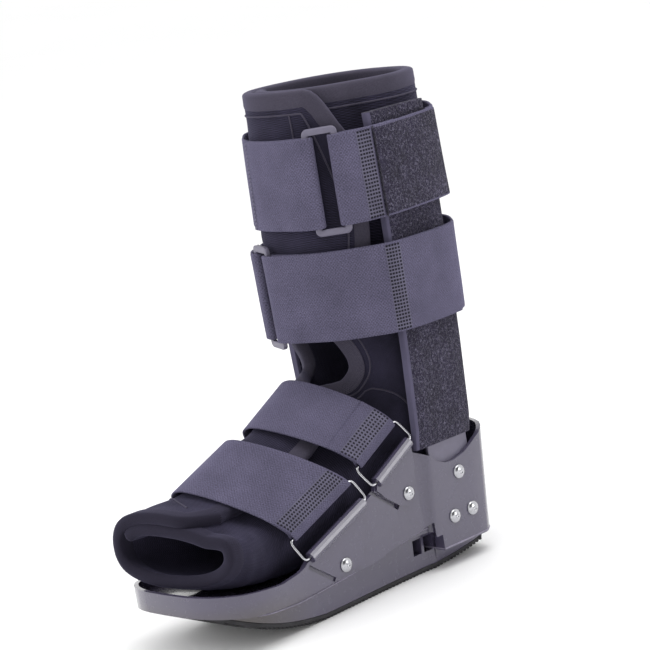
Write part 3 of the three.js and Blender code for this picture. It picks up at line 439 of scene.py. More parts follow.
# %% Cloths: webbing, pile, liner, binding and thread
def cloth(name, colour, scales, fuzz, depth, low=0.85, high=1.15, sheen=0.12, fleck=0.5):
    """A cloth whose threads follow the piece's own unrolled map."""
    material, tree, shader, place = finish(name, colour, 0.95, Sheen_Weight=sheen, Sheen_Roughness=0.5)
    shader.inputs["Specular IOR Level"].default_value = 0.2
    shader.inputs["Sheen Tint"].default_value = (0.62, 0.58, 1.0, 1)
    woven = use(tree, threads, Vector=place.outputs["UV"], Across=scales[0], Along=scales[1], Fuzz=fuzz)
    slow = use(tree, mottle, Vector=place.outputs["Object"], Scale=45.0, Low=low, High=high)
    fine = wire(
        tree, "ShaderNodeMapRange", n0=woven.outputs["Height"], n1=0.25, n2=0.75, n3=1 - fleck, n4=1 + fleck
    )
    shade = maths(tree, "MULTIPLY", slow.outputs["Shade"], fine.outputs[0])
    tone(tree, shader, shade, colour)
    relief(tree, shader, woven.outputs["Height"], depth)
    return material


def pile_cloth(name, colour, light):
    """A mat of curls: painted shade between them and a painted highlight on their tops."""
    material, tree, shader, place = finish(name, colour, 1.0, Sheen_Weight=0.1, Sheen_Roughness=0.6)
    shader.inputs["Specular IOR Level"].default_value = 0.1
    curl = use(tree, curls, Vector=place.outputs["Object"], Scale=620.0)
    slow = use(tree, mottle, Vector=place.outputs["Object"], Scale=60.0, Low=0.75, High=1.25)
    curl_light_and_shade = wire(
        tree, "ShaderNodeMix", {"data_type": "RGBA"},
        n0=curl.outputs["Fleck"], n6=(*colour, 1), n7=(*light, 1),
    )
    tone(tree, shader, slow.outputs["Shade"], curl_light_and_shade.outputs[2])
    relief(tree, shader, curl.outputs["Height"], 1.2 * mm)
    return material


webbing_face = cloth("webbing_face", (0.085, 0.078, 0.125), (500.0, 420.0), 0.85, 0.4 * mm, fleck=0.8)
liner_face = cloth("liner_face", (0.017, 0.015, 0.029), (120.0, 700.0), 0.55, 0.3 * mm, 0.7, 1.35, fleck=0.6)
binding_face = cloth("binding_face", (0.048, 0.043, 0.062), (1300.0, 500.0), 0.5, 0.12 * mm, 0.9, 1.1)
# A darker copy of the binding: painted shade for the tape round the toe opening
toe_binding_shade = cloth("toe_binding_shade", (0.014, 0.012, 0.022), (1300.0, 500.0), 0.5, 0.12 * mm, 0.9, 1.1)
thread_face = cloth("thread_face", (0.112, 0.105, 0.152), (1200.0, 1200.0), 0.5, 0.1 * mm)
# Near-black blocks: painted shade for the needle holes in the stitch bands
needle_hole_shade = cloth("needle_hole_shade", (0.012, 0.011, 0.016), (1200.0, 1200.0), 0.5, 0.1 * mm)
# The second colour is the painted highlight on the curl tops
pile_face = pile_cloth("pile_face", (0.016, 0.013, 0.029), (0.150, 0.138, 0.205))
print("finishes:", sorted(m.name for m in bpy.data.materials))

# %% [markdown]
# ## Shell
# The real shell is one thin moulding. Its solid already has the true outline, so the fine piece starts as
# a copy of it. On each side two narrow slits are cut, which run down and back from the lower ends of the
# tubes that hold the wires. The copy is then joined into large faces, and every sharp edge is rounded as a
# mould leaves it.

# %% Cut the slits and round the shell's edges
shell = clean_copy("shell", "shell_moulding")
slits = [((-0.1, 72.2), (23.4, 53.9)), ((-65.7, 41.7), (-43.9, 25.8))]
slit_width = 2.8
slit_depth = 2.5
beside_shell = 80


def on_shell_side(side, y, z):
    """The place on the shell's side wall at a length and a height in mm, or None where there is no wall."""
    found, spot, _, _ = shell.ray_cast(Vector((side * beside_shell, y, z)) * mm, Vector((-side, 0, 0)))
    return spot if found else None


for side in (1, -1):
    for front, back in slits:
        front, back = np.array(front), np.array(back)
        middle = (front + back) / 2
        span = back - front
        bpy.ops.mesh.primitive_cube_add(size=1)
        cutter = bpy.context.active_object
        cutter.scale = (2 * slit_depth * mm, float(np.linalg.norm(span)) * mm, slit_width * mm)
        cutter.rotation_euler = (math.atan2(span[1], span[0]), 0, 0)
        cutter.location = (on_shell_side(side, *middle).x, middle[0] * mm, middle[1] * mm)
        bpy.ops.object.transform_apply(location=True, rotation=True, scale=True)
        modify(shell, "BOOLEAN", object=cutter, operation="DIFFERENCE", solver="EXACT")
        bpy.data.objects.remove(cutter)
join_flat_faces(shell, 0.6)
soften(shell, 0.7 * mm, 2, 28)
smooth_shading(shell, 35)
modify(shell, "WEIGHTED_NORMAL", keep_sharp=True, weight=80)
hand_over(shell, shell_gloss, "shell", "shell")
print("shell triangles:", count(shell))

# %% [markdown]
# ### Highlighted edges
# The moulding has a ledge along each side of the rocker and low down along the heel, and it is painted
# lighter
# there: a painted highlight where the edge catches light. Each is a thin rod that follows a line of lengths
# and heights, and the shell's own wall gives its third measure.


# %% Lay the painted edge highlights
def tube(name, centre, radius, sides=8):
    """A round rod through points in metres."""
    way = unit(np.gradient(centre, axis=0))
    side = unit(np.cross(way, np.array([0.0, 0.0, 1.0])))
    up = np.cross(side, way)
    turns = np.linspace(0, math.tau, sides, endpoint=False)
    rings = np.stack([centre + radius * (side * math.cos(a) + up * math.sin(a)) for a in turns], axis=1)
    return smooth_shading(swept(name, rings), 60)


edge_lines = {
    "ledge": [(-115.3, 23.8), (-102.7, 21.6), (-87.9, 20.6), (-73.8, 19.9), (-50.9, 21.1), (-27.5, 22.3),
              (5.3, 25.5), (31.6, 30.4), (48.6, 32.1)],
    "heel_edge": [(52.0, 15.4), (84.0, 15.4), (100.0, 15.6), (108.0, 16.2)],
}
edge_radius = 0.7 * mm
edge_sink = 0.25 * mm
edge_stations = 80
for line_name, line in edge_lines.items():
    line_y, line_z = np.array(line).T
    for side, side_name in ((1, "lateral"), (-1, "medial")):
        spots = []
        for y in np.linspace(line_y[0], line_y[-1], edge_stations):
            spot = on_shell_side(side, y, float(np.interp(y, line_y, line_z)))
            if spot is not None:
                spots.append(spot)
        spots = np.array(spots)
        spots[:, 0] -= side * edge_sink
        # The rod is the real ledge; its lighter colour is a painted highlight
        hand_over(tube(f"shell_{line_name}_{side_name}", spots, edge_radius), painted_edge_highlight, "shell")

# %% [markdown]
# ## Outsole
# A thin rubber sole is bonded under the rocker. Its tread is a row of fine cross ribs, which show as a
# toothed line along the edge. The rubber's body is lifted by the height of the ribs, and one rib is
# modelled from a cube and copied along the tread.

# %% Make the sole and its ribs
rib_height = 1.3 * mm
rib_pitch = 3.4 * mm
rib_length = 1.9 * mm
rib_sink = 0.4 * mm
sole_thickness = 4 * mm
wall_rise = 0.6 * sole_thickness
sole = clean_copy("outsole", "outsole_rubber")
sole_low, sole_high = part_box("outsole")
bm = bmesh.new()
bm.from_mesh(sole.data)
under = []
for vert in bm.verts:
    above = [e.other_vert(vert).co.z - vert.co.z for e in vert.link_edges]
    if max(above) > wall_rise and min(above) > -wall_rise:
        under.append(vert)
tread_line = sorted({(round(v.co.y, 5), round(v.co.z, 5), round(abs(v.co.x), 5)) for v in under})
for vert in under:
    vert.co.z += rib_height
bm.to_mesh(sole.data)
bm.free()
soften(sole, 0.5 * mm, 2, 40)
smooth_shading(sole, 35)
hand_over(sole, rubber, "outsole", "outsole")
tread_y, tread_z, tread_x = np.array(tread_line).T

bpy.ops.mesh.primitive_cube_add(size=1)
rib = bpy.context.active_object
rib.name = "rib"
rib.scale = (1, rib_length, rib_height + rib_sink)
bpy.ops.object.transform_apply(scale=True)
soften(rib, 0.3 * mm, 1)


def joined(name, template, places):
    """One mesh that holds a copy of the template at each place (4x4 matrices)."""
    base = np.array([v.co for v in template.data.vertices])
    faces = [tuple(p.vertices) for p in template.data.polygons]
    points = []
    links = []
    for place in places:
        turn = np.array(place)
        start = len(points)
        points.extend(base @ turn[:3, :3].T + turn[:3, 3])
        links.extend(tuple(i + start for i in face) for face in faces)
    return mesh_piece(name, points, links)


def tread_height(y):
    return float(np.interp(y, tread_y, tread_z))


rib_places = []
lanes = ((-0.98, -0.36), (-0.30, 0.30), (0.36, 0.98))
toe_margin = 4 * mm
heel_margin = 3 * mm
slope_reach = 2 * mm
for y in np.arange(sole_low.y + toe_margin, sole_high.y - heel_margin, rib_pitch):
    half_width = float(np.interp(y, tread_y, tread_x))
    slope = (tread_height(y + slope_reach) - tread_height(y - slope_reach)) / (2 * slope_reach)
    for left, right in lanes:
        centre = ((left + right) / 2 * half_width, y, tread_height(y) + (rib_height + rib_sink) / 2)
        tilt = Matrix.Rotation(math.atan(slope), 4, "X")
        stretch = Matrix.Diagonal(((right - left) * half_width, 1, 1, 1))
        rib_places.append(Matrix.Translation(centre) @ tilt @ stretch)
tread = joined("outsole_tread", rib, rib_places)
bpy.data.objects.remove(rib)
hand_over(tread, rubber, "outsole")
print("tread ribs:", len(rib_places))

# %% [markdown]
# ## Rivets
# A rivet is turned work, so it is built as on a lathe: a small disc is extruded and resized ring by ring,
# from the clenched tail, along the shank, over the domed head and down into the dimple of the setting tool.


# %% Turn a rivet
def turned(name, rings, sides=28):
    """Extrudes a disc through (radius, height) rings along Z."""
    radius, height = rings[0]
    place = (0, 0, height)
    bpy.ops.mesh.primitive_circle_add(vertices=sides, radius=radius, fill_type="NGON", location=place)
    obj = bpy.context.active_object
    obj.name = name
    bpy.ops.object.transform_apply(location=True)
    bpy.ops.object.mode_set(mode="EDIT")
    bpy.ops.mesh.select_all(action="SELECT")
    for next_radius, next_height in rings[1:]:
        bpy.ops.mesh.extrude_region_move(TRANSFORM_OT_translate={"value": (0, 0, next_height - height)})
        ratio = next_radius / radius
        bpy.ops.transform.resize(value=(ratio, ratio, 1), center_override=(0, 0, 0))
        radius, height = next_radius, next_height
    bpy.ops.mesh.select_all(action="SELECT")
    bpy.ops.mesh.normals_make_consistent(inside=False)
    bpy.ops.object.mode_set(mode="OBJECT")
    return obj


head_radius = 5 * mm
head_height = 2.4 * mm
shank_radius = 1.9 * mm
tail_radius = 1.7 * shank_radius
tail_height = 0.9 * mm
dimple = 0.30 * head_radius
rivet_names = [n for n in nodes if n.startswith("rivet_")]
for name in rivet_names:
    low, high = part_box(name)
    outward = 1 if low.x > 0 else -1
    length = high.x - low.x
    rings = [(1.5 * shank_radius, -length), (tail_radius, -length + 0.3 * mm)]
    rings += [(tail_radius, -length + tail_height), (shank_radius, -length + tail_height)]
    rings += [(shank_radius, -head_height), (head_radius, -head_height)]
    for step in range(1, 8):
        turn = math.radians(90 * step / 9)
        rings.append((head_radius * math.cos(turn), -head_height + head_height * math.sin(turn)))
    rings += [(dimple, -0.02 * mm), (dimple * 0.72, -0.5 * mm), (dimple * 0.3, -0.62 * mm)]
    piece = turned(name.replace("rivet_", "rivet_set_"), rings)
    turn = Matrix.Rotation(math.radians(90 * outward), 4, "Y")
    foot = Vector((high.x if outward > 0 else low.x, (low.y + high.y) / 2, (low.z + high.z) / 2))
    piece.data.transform(Matrix.Translation(foot) @ turn)
    smooth_shading(piece, 50)
    hand_over(piece, nickel, "metal", name)
print("rivets:", len(rivet_names))

# %% [markdown]
# ## Wire loops
# Each strap end hangs on a loop of round wire. The solids are six-sided, so a copy is rounded by
# subdivision and then grown by the little that the rounding takes away.

# %% Round the wires
wire_growth = 0.13 * mm
for name in [n for n in nodes if n.startswith("wire_loop_")]:
    loop = clean_copy(name, name.replace("wire_loop_", "wire_"))
    modify(loop, "SUBSURF", levels=2, render_levels=2)
    normals = [v.normal.copy() for v in loop.data.vertices]
    for vert, normal in zip(loop.data.vertices, normals):
        vert.co += normal * wire_growth
    smooth_shading(loop, 60)
    hand_over(loop, nickel, "metal", name)

# %% [markdown]
# ## Buckles and uprights
# The two buckles are moulded frames with soft edges. The uprights are flat bars that only show at their
# lower ends, so their solids stay as they are, in the same satin plastic.

# %% Soften buckles and uprights
for name in ("buckle_lower", "buckle_upper"):
    buckle = clean_copy(name, name + "_moulded")
    join_flat_faces(buckle, 2)
    soften(buckle, 1.1 * mm, 3, 50)
    smooth_shading(buckle, 50)
    hand_over(buckle, satin, "buckle", name)

for name in ("stay_lateral", "stay_medial"):
    bar = nodes[name]
    bar.data.materials.clear()
    bar.data.materials.append(satin)

# %% [markdown]
# ## The shapes of the straps
# A leg strap follows a rounded ring round the liner. A foot strap is a band between two wire loops. Both are
# ribbons: a section with rounded edges that runs along a path. The ring's numbers and the folds round the
# buckles' bars are those of the measured parts.


# %% Curves and ribbons
def ease(start, end, value):
    t = np.clip((value - start) / (end - start), 0, 1)
    return t * t * (3 - 2 * t)


def power(value, exponent):
    return np.sign(value) * np.abs(value) ** exponent


def outward_of(path):
    """Unit directions square to a path of 2-D points, in its plane."""
    way = unit(np.gradient(path, axis=0))
    return np.stack([-way[:, 1], way[:, 0]], axis=1)


def ribbon_section(width_share, thickness, steps):
    """Rounded section: (share of the width, height off the middle). The edges are half circles."""
    turns = np.radians(np.linspace(-90, 90, 7))
    far = [(1 - width_share + width_share * math.cos(t), thickness / 2 * math.sin(t)) for t in turns]
    near = [(width_share - width_share * math.cos(t), -thickness / 2 * math.sin(t)) for t in turns]
    inner = np.linspace(width_share, 1 - width_share, steps)[1:-1]
    top = [(a, thickness / 2) for a in inner[::-1]]
    bottom = [(a, -thickness / 2) for a in inner]
    return far + top + near + bottom


def ribbon(name, place, stations, section):
    """Sweeps a section along stations: place(station, share, height) gives points for arrays."""
    shares, heights = np.array(section).T
    return face_outward(swept(name, np.stack([place(i, shares, heights) for i in range(stations)])))


def lay_map(obj, coordinates):
    """Writes one (u, v) for each vertex into the piece's UV map, in metres."""
    layer = obj.data.uv_layers.new(name="laid_flat")
    corners = np.zeros(len(obj.data.loops), int)
    obj.data.loops.foreach_get("vertex_index", corners)
    layer.data.foreach_set("uv", coordinates[corners].astype(np.float32).ravel())


def unroll(obj, lengths, across):
    """Lays a swept piece flat: its run one way and the way round its section the other, in metres."""
    lay_map(obj, np.stack([np.repeat(lengths, len(across)), np.tile(across, len(lengths))], axis=1))


# %% Leg strap rings
sole_length = 269
heel_back = 124
instep_level = 150
cuff_level = 336
liner_seat = 29
clearance = 0.3
leg_half_width = 53
leg_half_depth = 60.5
webbing = 2
strap_width = 60
buckle_thickness = 3
buckle_bar = 4.2
buckle_width = 24


def along(share):
    return heel_back - sole_length + share * sole_length


leg_centre_share = 0.799
leg_centre = along(leg_centre_share)
stay_thickness = 2.5
pile_thickness = 1.9
sleeve_thickness = stay_thickness + 2 * (pile_thickness + clearance)
ring_x = leg_half_width + sleeve_thickness
rings = {
    "lower": dict(half_x=ring_x + 2.1, half_y=leg_half_depth + 1.9, low=171, lean=0.02, rise=0.0),
    "upper": dict(half_x=ring_x + 1.7, half_y=leg_half_depth + 1.7, low=249, lean=-0.03, rise=0.03),
}
ring_front_power = 2.05
ring_side_power = 2.8
ring_back_power = 2.3
ring_side_turn = (45, 85)
ring_back_turn = (112, 138)


def ring_power(angle):
    """Squareness: slack over the uprights, drawn in at the front and at the back."""
    turn = np.abs((np.asarray(angle, dtype=float) + 180) % 360 - 180)
    side = (ring_side_power - ring_front_power) * ease(*ring_side_turn, turn)
    back = (ring_side_power - ring_back_power) * ease(*ring_back_turn, turn)
    return ring_front_power + side - back


def ring_point(ring, angle, offset):
    turn = np.radians(angle)
    bend = 2 / ring_power(angle)
    x = (ring["half_x"] + offset) * power(np.sin(turn), bend)
    y = leg_centre - (ring["half_y"] + offset) * power(np.cos(turn), bend)
    return np.stack([x, y], axis=-1)


def settle_on_ring(ring, xy, height):
    """A point of the ring's plan at a height above the strap's lower edge, in metres."""
    scale = 1 + ring["lean"] * (height - strap_width / 2) / strap_width
    y = leg_centre + (xy[..., 1] - leg_centre) * scale
    z = ring["low"] + height + ring["rise"] * (y - leg_centre)
    return np.stack([xy[..., 0] * scale, y, z], axis=-1) * mm


layer_inner = webbing / 2
layer_outer = webbing * 1.5 + clearance
bar_middle = webbing + clearance + buckle_thickness / 2
fold_radius = buckle_thickness / 2 + clearance + webbing / 2
bar_reach = buckle_width / 2 - buckle_bar / 2
fold_tuck = 0.8
near_buckle = 17
settle = 16
wave_height = 0.12


def fold(ring, at, side):
    """Round a buckle's bar, from the inner layer to the outer one."""
    centre = ring_point(ring, at, bar_middle)
    out = unit(ring_point(ring, at, bar_middle + 1) - centre)
    tangent = np.array([-out[1], out[0]]) * side
    turn_at = bar_reach - buckle_bar / 2 + fold_tuck
    past_bar = bar_reach + buckle_bar / 2 + fold_tuck
    points = [centre + tangent * past_bar - out * fold_radius]
    for turn in np.radians(np.linspace(0, 180, 13)):
        reach = turn_at - fold_radius * math.sin(turn)
        points.append(centre + tangent * reach - out * fold_radius * math.cos(turn))
    points.append(centre + tangent * past_bar + out * fold_radius)
    return np.array(points)


def run(ring, start, end, offset, step=3):
    number = max(1, round(abs(end - start) / step))
    angles = np.linspace(start, end, number + 1)
    return ring_point(ring, angles, offset(angles))


def outer_lift(at, side):
    def offset(angle):
        away = side * (angle - at) - near_buckle
        return layer_outer + (bar_middle + fold_radius - layer_outer) * (1 - ease(0, settle, away))
    return offset


def steady(offset):
    return lambda angle: np.full_like(angle, offset, dtype=float)


inner_offset = steady(layer_inner)


def strap_on_ring(name, ring, path, node, thickness=webbing):
    """A leg strap along a path of plan points. Its face waves a little, as soft webbing does."""
    out = outward_of(path)
    centre_side = np.sign(np.sum(out * (path - np.array([0, leg_centre])), axis=1).mean())
    out = out * centre_side
    section = ribbon_section(0.5 * thickness / strap_width, thickness, 27)
    run_length = lengths_along(path)

    def place(i, share, height):
        run_here = run_length[i]
        wave = wave_height * np.sin(run_here * 0.11 + 1.3) * np.sin(share * 5.1 + run_here * 0.05)
        xy = path[i] + out[i] * (height + wave)[:, None]
        return settle_on_ring(ring, xy, share * strap_width)

    obj = ribbon(name, place, len(path), section)
    unroll(obj, run_length * mm, np.array(section)[:, 0] * strap_width * mm)
    smooth_shading(obj, 50)
    hand_over(obj, webbing_face, "webbing", node)
    return obj


# %% Weave the leg straps
buckle_at = {"lower": -21, "upper": 37}
lower, upper = rings["lower"], rings["upper"]
at = buckle_at["lower"]
lower_path = np.concatenate([
    run(lower, 109, at + near_buckle, outer_lift(at, 1)),
    fold(lower, at, 1)[::-1],
    run(lower, at + near_buckle, 360 + at - near_buckle, inner_offset),
    fold(lower, at, -1),
    run(lower, at - near_buckle, at - near_buckle - settle * 1.6, outer_lift(at, -1)),
])
strap_lower = strap_on_ring("strap_leg_lower", lower, lower_path, "leg_strap_lower")
at = buckle_at["upper"]
upper_path = np.concatenate([
    run(upper, -24, at - near_buckle, outer_lift(at, -1)),
    fold(upper, at, -1)[::-1],
    run(upper, at - near_buckle, 108 - 360, inner_offset),
])
strap_upper = strap_on_ring("strap_leg_upper", upper, upper_path, "leg_strap_upper")
tab_path = np.concatenate([
    run(upper, 88, at + near_buckle, inner_offset),
    fold(upper, at, 1),
    run(upper, at + near_buckle, 71, outer_lift(at, 1)),
])
strap_tab = strap_on_ring("strap_leg_tab", upper, tab_path, "leg_strap_upper_tab")
print("leg strap triangles:", count(strap_lower), count(strap_upper), count(strap_tab))

# %% [markdown]
# ## Foot straps
# Each foot strap runs over the instep from loop to loop, and its ends are folded back under it.

# %% Weave the foot straps
rim_level = 96
wire_radius = 1
foot_webbing = 1.8
loop_overrun = 4.5
loop_depth = 17
loop_lean = math.radians(22)
strap_edge_gap = 3.5
fold_tail = 24
wire_fold = wire_radius + clearance + foot_webbing / 2
crown_power = 1.7
crown_lean = 14
shoulder = 0.9
shoulder_share = 0.08


def level(share):
    """A height: 0 is the liner's underside, 1 the instep and 2 the cuff's top."""
    share = np.asarray(share, dtype=float)
    low = liner_seat + share * (instep_level - liner_seat)
    high = instep_level + (share - 1) * (cuff_level - instep_level)
    return np.where(share <= 1, low, high)


tubes = {
    "front": dict(start=(0.305, 0.490), end=(0.502, 0.708), x=52),
    "rear": dict(start=(0.562, 0.800), end=(0.690, 0.990), x=51),
}
crests = {
    "front": ((0.151, 0.576), (0.344, 0.745)),
    "rear": ((0.410, 0.768), (0.563, 0.950)),
}


def loop_bar(tube):
    """The two corners of a wire loop on the strap's side."""
    start = np.array([tube["x"], along(tube["start"][0]), tube["start"][1] * rim_level])
    end = np.array([tube["x"], along(tube["end"][0]), tube["end"][1] * rim_level])
    way = unit(end - start)
    up = np.array([-math.sin(loop_lean), -way[2] * math.cos(loop_lean), way[1] * math.cos(loop_lean)])
    low = start - way * loop_overrun + up * loop_depth
    high = end + way * loop_overrun + up * loop_depth
    return low + way * strap_edge_gap, high - way * strap_edge_gap


def foot_path(half_span, height):
    """The strap in its own plane: x across, h up from the bars."""
    wide = half_span + wire_fold + shoulder
    widest = height * shoulder_share
    closed = foot_webbing + 2 * clearance

    def outer_x(h):
        rise = np.clip((h - widest) / (height - widest), 0, 1)
        over = wide * (1 - rise ** crown_power) ** (1 / crown_power)
        return np.where(h <= widest, half_span + wire_fold + shoulder * ease(0, widest, h), over)

    tail_h = np.linspace(fold_tail, 0, 12, endpoint=False)
    tail_x = outer_x(tail_h) - closed - (2 * wire_fold - closed) * (1 - ease(0, 3 * wire_fold, tail_h))
    turn = np.radians(np.linspace(0, 180, 11))
    bend_x = half_span - wire_fold * np.cos(turn)
    bend_h = -wire_fold * np.sin(turn)
    rise_h = np.linspace(0, widest, 6)[1:-1]
    side = np.concatenate([
        np.stack([tail_x, tail_h], axis=1),
        np.stack([bend_x, bend_h], axis=1),
        np.stack([outer_x(rise_h), rise_h], axis=1),
    ])
    arc = np.radians(np.linspace(0, 180, 73))
    climb = power(np.sin(arc), 2 / crown_power)
    across = wide * power(np.cos(arc), 2 / crown_power) - crown_lean * climb ** 2
    crown = np.stack([across, widest + (height - widest) * climb], axis=1)
    return np.concatenate([side, crown, side[::-1] * np.array([-1, 1])])


foot_width = 60
foot_surface = {}
for which in ("front", "rear"):
    sheets = []
    for base, crest in zip(loop_bar(tubes[which]), crests[which]):
        top = np.array([along(crest[0]), float(level(crest[1]))])
        rise = top - base[1:]
        height = np.linalg.norm(rise)
        path = foot_path(base[0], height)
        sheets.append((base, rise / height, path, -outward_of(path)))
    foot_surface[which] = sheets
    section = ribbon_section(0.5 * foot_webbing / foot_width, foot_webbing, 18)

    def place(i, share, height, sheets=sheets):
        rows = []
        for base, rise, path, out in sheets:
            x, h = (path[i] + out[i] * height[:, None]).T
            rows.append(np.stack([x, base[1] + h * rise[0], base[2] + h * rise[1]], axis=1))
        return (rows[0] + (rows[1] - rows[0]) * share[:, None]) * mm

    first_path = sheets[0][2]
    strap = ribbon(f"strap_foot_{which}", place, len(first_path), section)
    unroll(strap, lengths_along(first_path) * mm, np.array(section)[:, 0] * foot_width * mm)
    smooth_shading(strap, 50)
    hand_over(strap, webbing_face, "webbing", f"foot_strap_{which}")
    print(strap.name, "triangles:", count(strap))

# %% [markdown]
# ## Stitching
# Where a strap's layers are sewn together, a band of close stitches crosses it: rows of needle holes between
# light threads. The holes are small near-black blocks, a painted shade of their depth. A band is a thin strip
# of thread laid on the strap, with a grid of these dark blocks on it. A strap's hem has no strip: two rows of
# light, slanted stitches hold it. Any surface given as a function of two measures can carry a band.


# %% Stitch tools
def lift_of(at, side):
    return lambda angle: outer_lift(at, side)(angle) + webbing / 2


def on_leg_strap(ring, lift):
    """The outer face of a leg strap: angle round the ring and height over the lower edge."""
    def point(angle, height):
        return settle_on_ring(ring, ring_point(ring, angle, lift(angle)), height)
    return point


def on_foot_strap(which):
    """The outer face of a foot strap: length from the bar on the outer side and share of the width."""
    sheets = foot_surface[which]
    first = sheets[0][2]
    lengths = lengths_along(first)
    outer_side = first[:30, 1]
    bar = lengths[np.argmin(outer_side)]

    def point(length, share):
        rows = []
        for base, rise, path, out in sheets:
            face = path + out * foot_webbing / 2
            x = np.interp(bar + length, lengths, face[:, 0])
            h = np.interp(bar + length, lengths, face[:, 1])
            rows.append(np.stack([x, base[1] + h * rise[0], base[2] + h * rise[1]], axis=-1))
        return (rows[0] + (rows[1] - rows[0]) * np.asarray(share)[..., None]) * mm
    return point


def surface_axes(point, a, b, steps, inside):
    """Places on a surface and, for each, its three axes: along a, across and outward."""
    here = point(a, b)
    along_a = unit(point(a + steps[0], b) - here)
    along_b = point(a, b + steps[1]) - here
    out = unit(np.cross(along_a, along_b))
    facing = np.sign(np.sum(out * (here - np.array(inside) * mm), axis=-1))
    out *= facing[..., None]
    return here, along_a, np.cross(out, along_a), out


def small_block(name, length, width, height):
    bpy.ops.mesh.primitive_cube_add(size=1)
    block = bpy.context.active_object
    block.name = name
    block.scale = (length * mm, width * mm, height * mm)
    bpy.ops.object.transform_apply(scale=True)
    return soften(block, 0.3 * min(length, width, height) * mm, 1)


stitch_height = 0.5
stitch_lift = 0.12 * mm
strip_lift = 0.16 * mm
strip_sink = 0.3 * mm
strip_margin = 0.6


def stitch_band(name, point, a_range, b_range, number, steps, inside, size, ground=True, spin=0):
    """A grid of stitches, number = (along a, along b), on a strip of thread."""
    a, b = np.meshgrid(np.linspace(*a_range, number[0]), np.linspace(*b_range, number[1]))
    here, first, second, out = surface_axes(point, a.ravel(), b.ravel(), steps, inside)
    template = small_block("stitch", *size, stitch_height)
    turn = Matrix.Rotation(math.radians(spin), 4, "Z")
    places = []
    for k in range(len(here)):
        axes = Matrix(np.stack([first[k], second[k], out[k]]).T.tolist()).to_4x4()
        places.append(Matrix.Translation(Vector(here[k] + out[k] * stitch_lift)) @ axes @ turn)
    dots = joined(name, template, places)
    bpy.data.objects.remove(template)
    # Dark blocks are painted shade for needle holes; the slanted hem stitches are light thread
    hand_over(dots, thread_face if spin else needle_hole_shade, "webbing")
    if not ground:
        return dots
    step_a = (a_range[1] - a_range[0]) / (number[0] - 1)
    margin = strip_margin * step_a
    a_line = np.linspace(a_range[0] - margin, a_range[1] + margin, 9)
    b_line = np.linspace(*b_range, 15)
    a, b = np.meshgrid(a_line, b_line)
    here, _, _, out = surface_axes(point, a, b, steps, inside)
    strip = mesh_piece(name + "_strip", *closed_sheet(here + out * strip_lift, here - out * strip_sink))
    hand_over(strip, thread_face, "webbing")
    return dots


def closed_sheet(outer, inner):
    """Points and faces of a closed thin body from its two grids."""
    high, wide = outer.shape[:2]
    layer = high * wide
    index = np.arange(layer).reshape(high, wide)
    faces = []
    for j in range(high - 1):
        for i in range(wide - 1):
            a, b, c, d = index[j, i], index[j, i + 1], index[j + 1, i + 1], index[j + 1, i]
            faces.append((a, b, c, d))
            faces.append((d + layer, c + layer, b + layer, a + layer))
    border = [*index[0, :], *index[1:, -1], *index[-1, -2::-1], *index[-2:0:-1, 0]]
    for k, a in enumerate(border):
        b = border[(k + 1) % len(border)]
        faces.append((a + layer, b + layer, b, a))
    return np.concatenate([outer.reshape(-1, 3), inner.reshape(-1, 3)]), faces


# %% Sew the bands
edge_margin = 2
over_strap = (edge_margin, strap_width - edge_margin)
leg_sewing = dict(steps=(0.5, 0.5), inside=(0, leg_centre, 240))
leg_stitch = (1.5, 1.35)
hem_stitch = (4.2, 0.9)
foot_stitch = (1.5, 1.3)
foot_stitch_pitch = 2.3
lower_face = on_leg_strap(lower, steady(layer_outer + webbing / 2))
tab_face = on_leg_strap(upper, lift_of(buckle_at["upper"], 1))
hem_face = on_leg_strap(upper, lift_of(buckle_at["upper"], -1))
stitch_band(
    "stitches_leg_lower", lower_face, (67.5, 76.5), over_strap, (5, 25), size=leg_stitch, **leg_sewing
)
stitch_band("stitches_leg_tab", tab_face, (60, 69), over_strap, (5, 24), size=leg_stitch, **leg_sewing)
stitch_band(
    "stitches_leg_hem", hem_face, (-21.5, -20.5), over_strap, (2, 22),
    size=hem_stitch, ground=False, spin=35, **leg_sewing,
)
for which, inside, reach in (("front", (0, -50, 70), 58), ("rear", (0, 10, 95), 40)):
    stitch_band(
        f"stitches_foot_{which}", on_foot_strap(which), (11, 21), (0.04, 0.96),
        (5, round(reach / foot_stitch_pitch)), (0.5, 0.01), inside, foot_stitch,
    )

# %% [markdown]
# ## Liner
# The liner is one padded sheet, 7 mm thick, wrapped to the shape of a boot. It is laid out by section, from
# the toe opening to the cuff, and by angle round each section, exactly as the measured solid is.

# %% The liner's sections
liner_wall = 7
liner_half_width = 56
flap_gap = 0.6
lap_rise = 32
toe_skew = 0.17
toe_lean = 0.10
toe_cut_rows = 1.25
cuff_cut_rows = 1.15
columns = ("front_y", "front_z", "back_y", "back_z", "width", "ridge", "top", "sole", "outer", "inner", "lap")
foot_rows = [
    (0.052, 0.525, 0.048, 0.130, 0.88, 0.05, 2.3, 2.3, 36, -62, 44),
    (0.123, 0.535, 0.123, 0.062, 0.84, 0.15, 2.2, 2.4, 44, -58, 46),
    (0.204, 0.570, 0.212, 0.022, 0.725, 0.28, 1.85, 2.6, 48, -52, 50),
    (0.309, 0.689, 0.323, 0.000, 0.715, 0.34, 1.75, 2.8, 50, -48, 52),
    (0.409, 0.740, 0.435, 0.000, 0.71, 0.35, 1.75, 2.9, 50, -44, 52),
    (0.509, 0.860, 0.576, 0.000, 0.71, 0.35, 1.75, 2.9, 44, -36, 52),
    (0.576, 0.925, 0.717, 0.000, 0.73, 0.28, 1.9, 2.9, 8, -4, 50),
    (0.613, 0.985, 0.836, 0.010, 0.76, 0.15, 2.1, 2.8, -20, 20, 50),
    (0.630, 1.030, 0.926, 0.075, 0.80, 0.05, 2.2, 2.6, -26, 25, 50),
    (0.622, 1.082, 0.974, 0.240, 0.81, 0.00, 2.3, 2.5, -29, 27, 50),
]
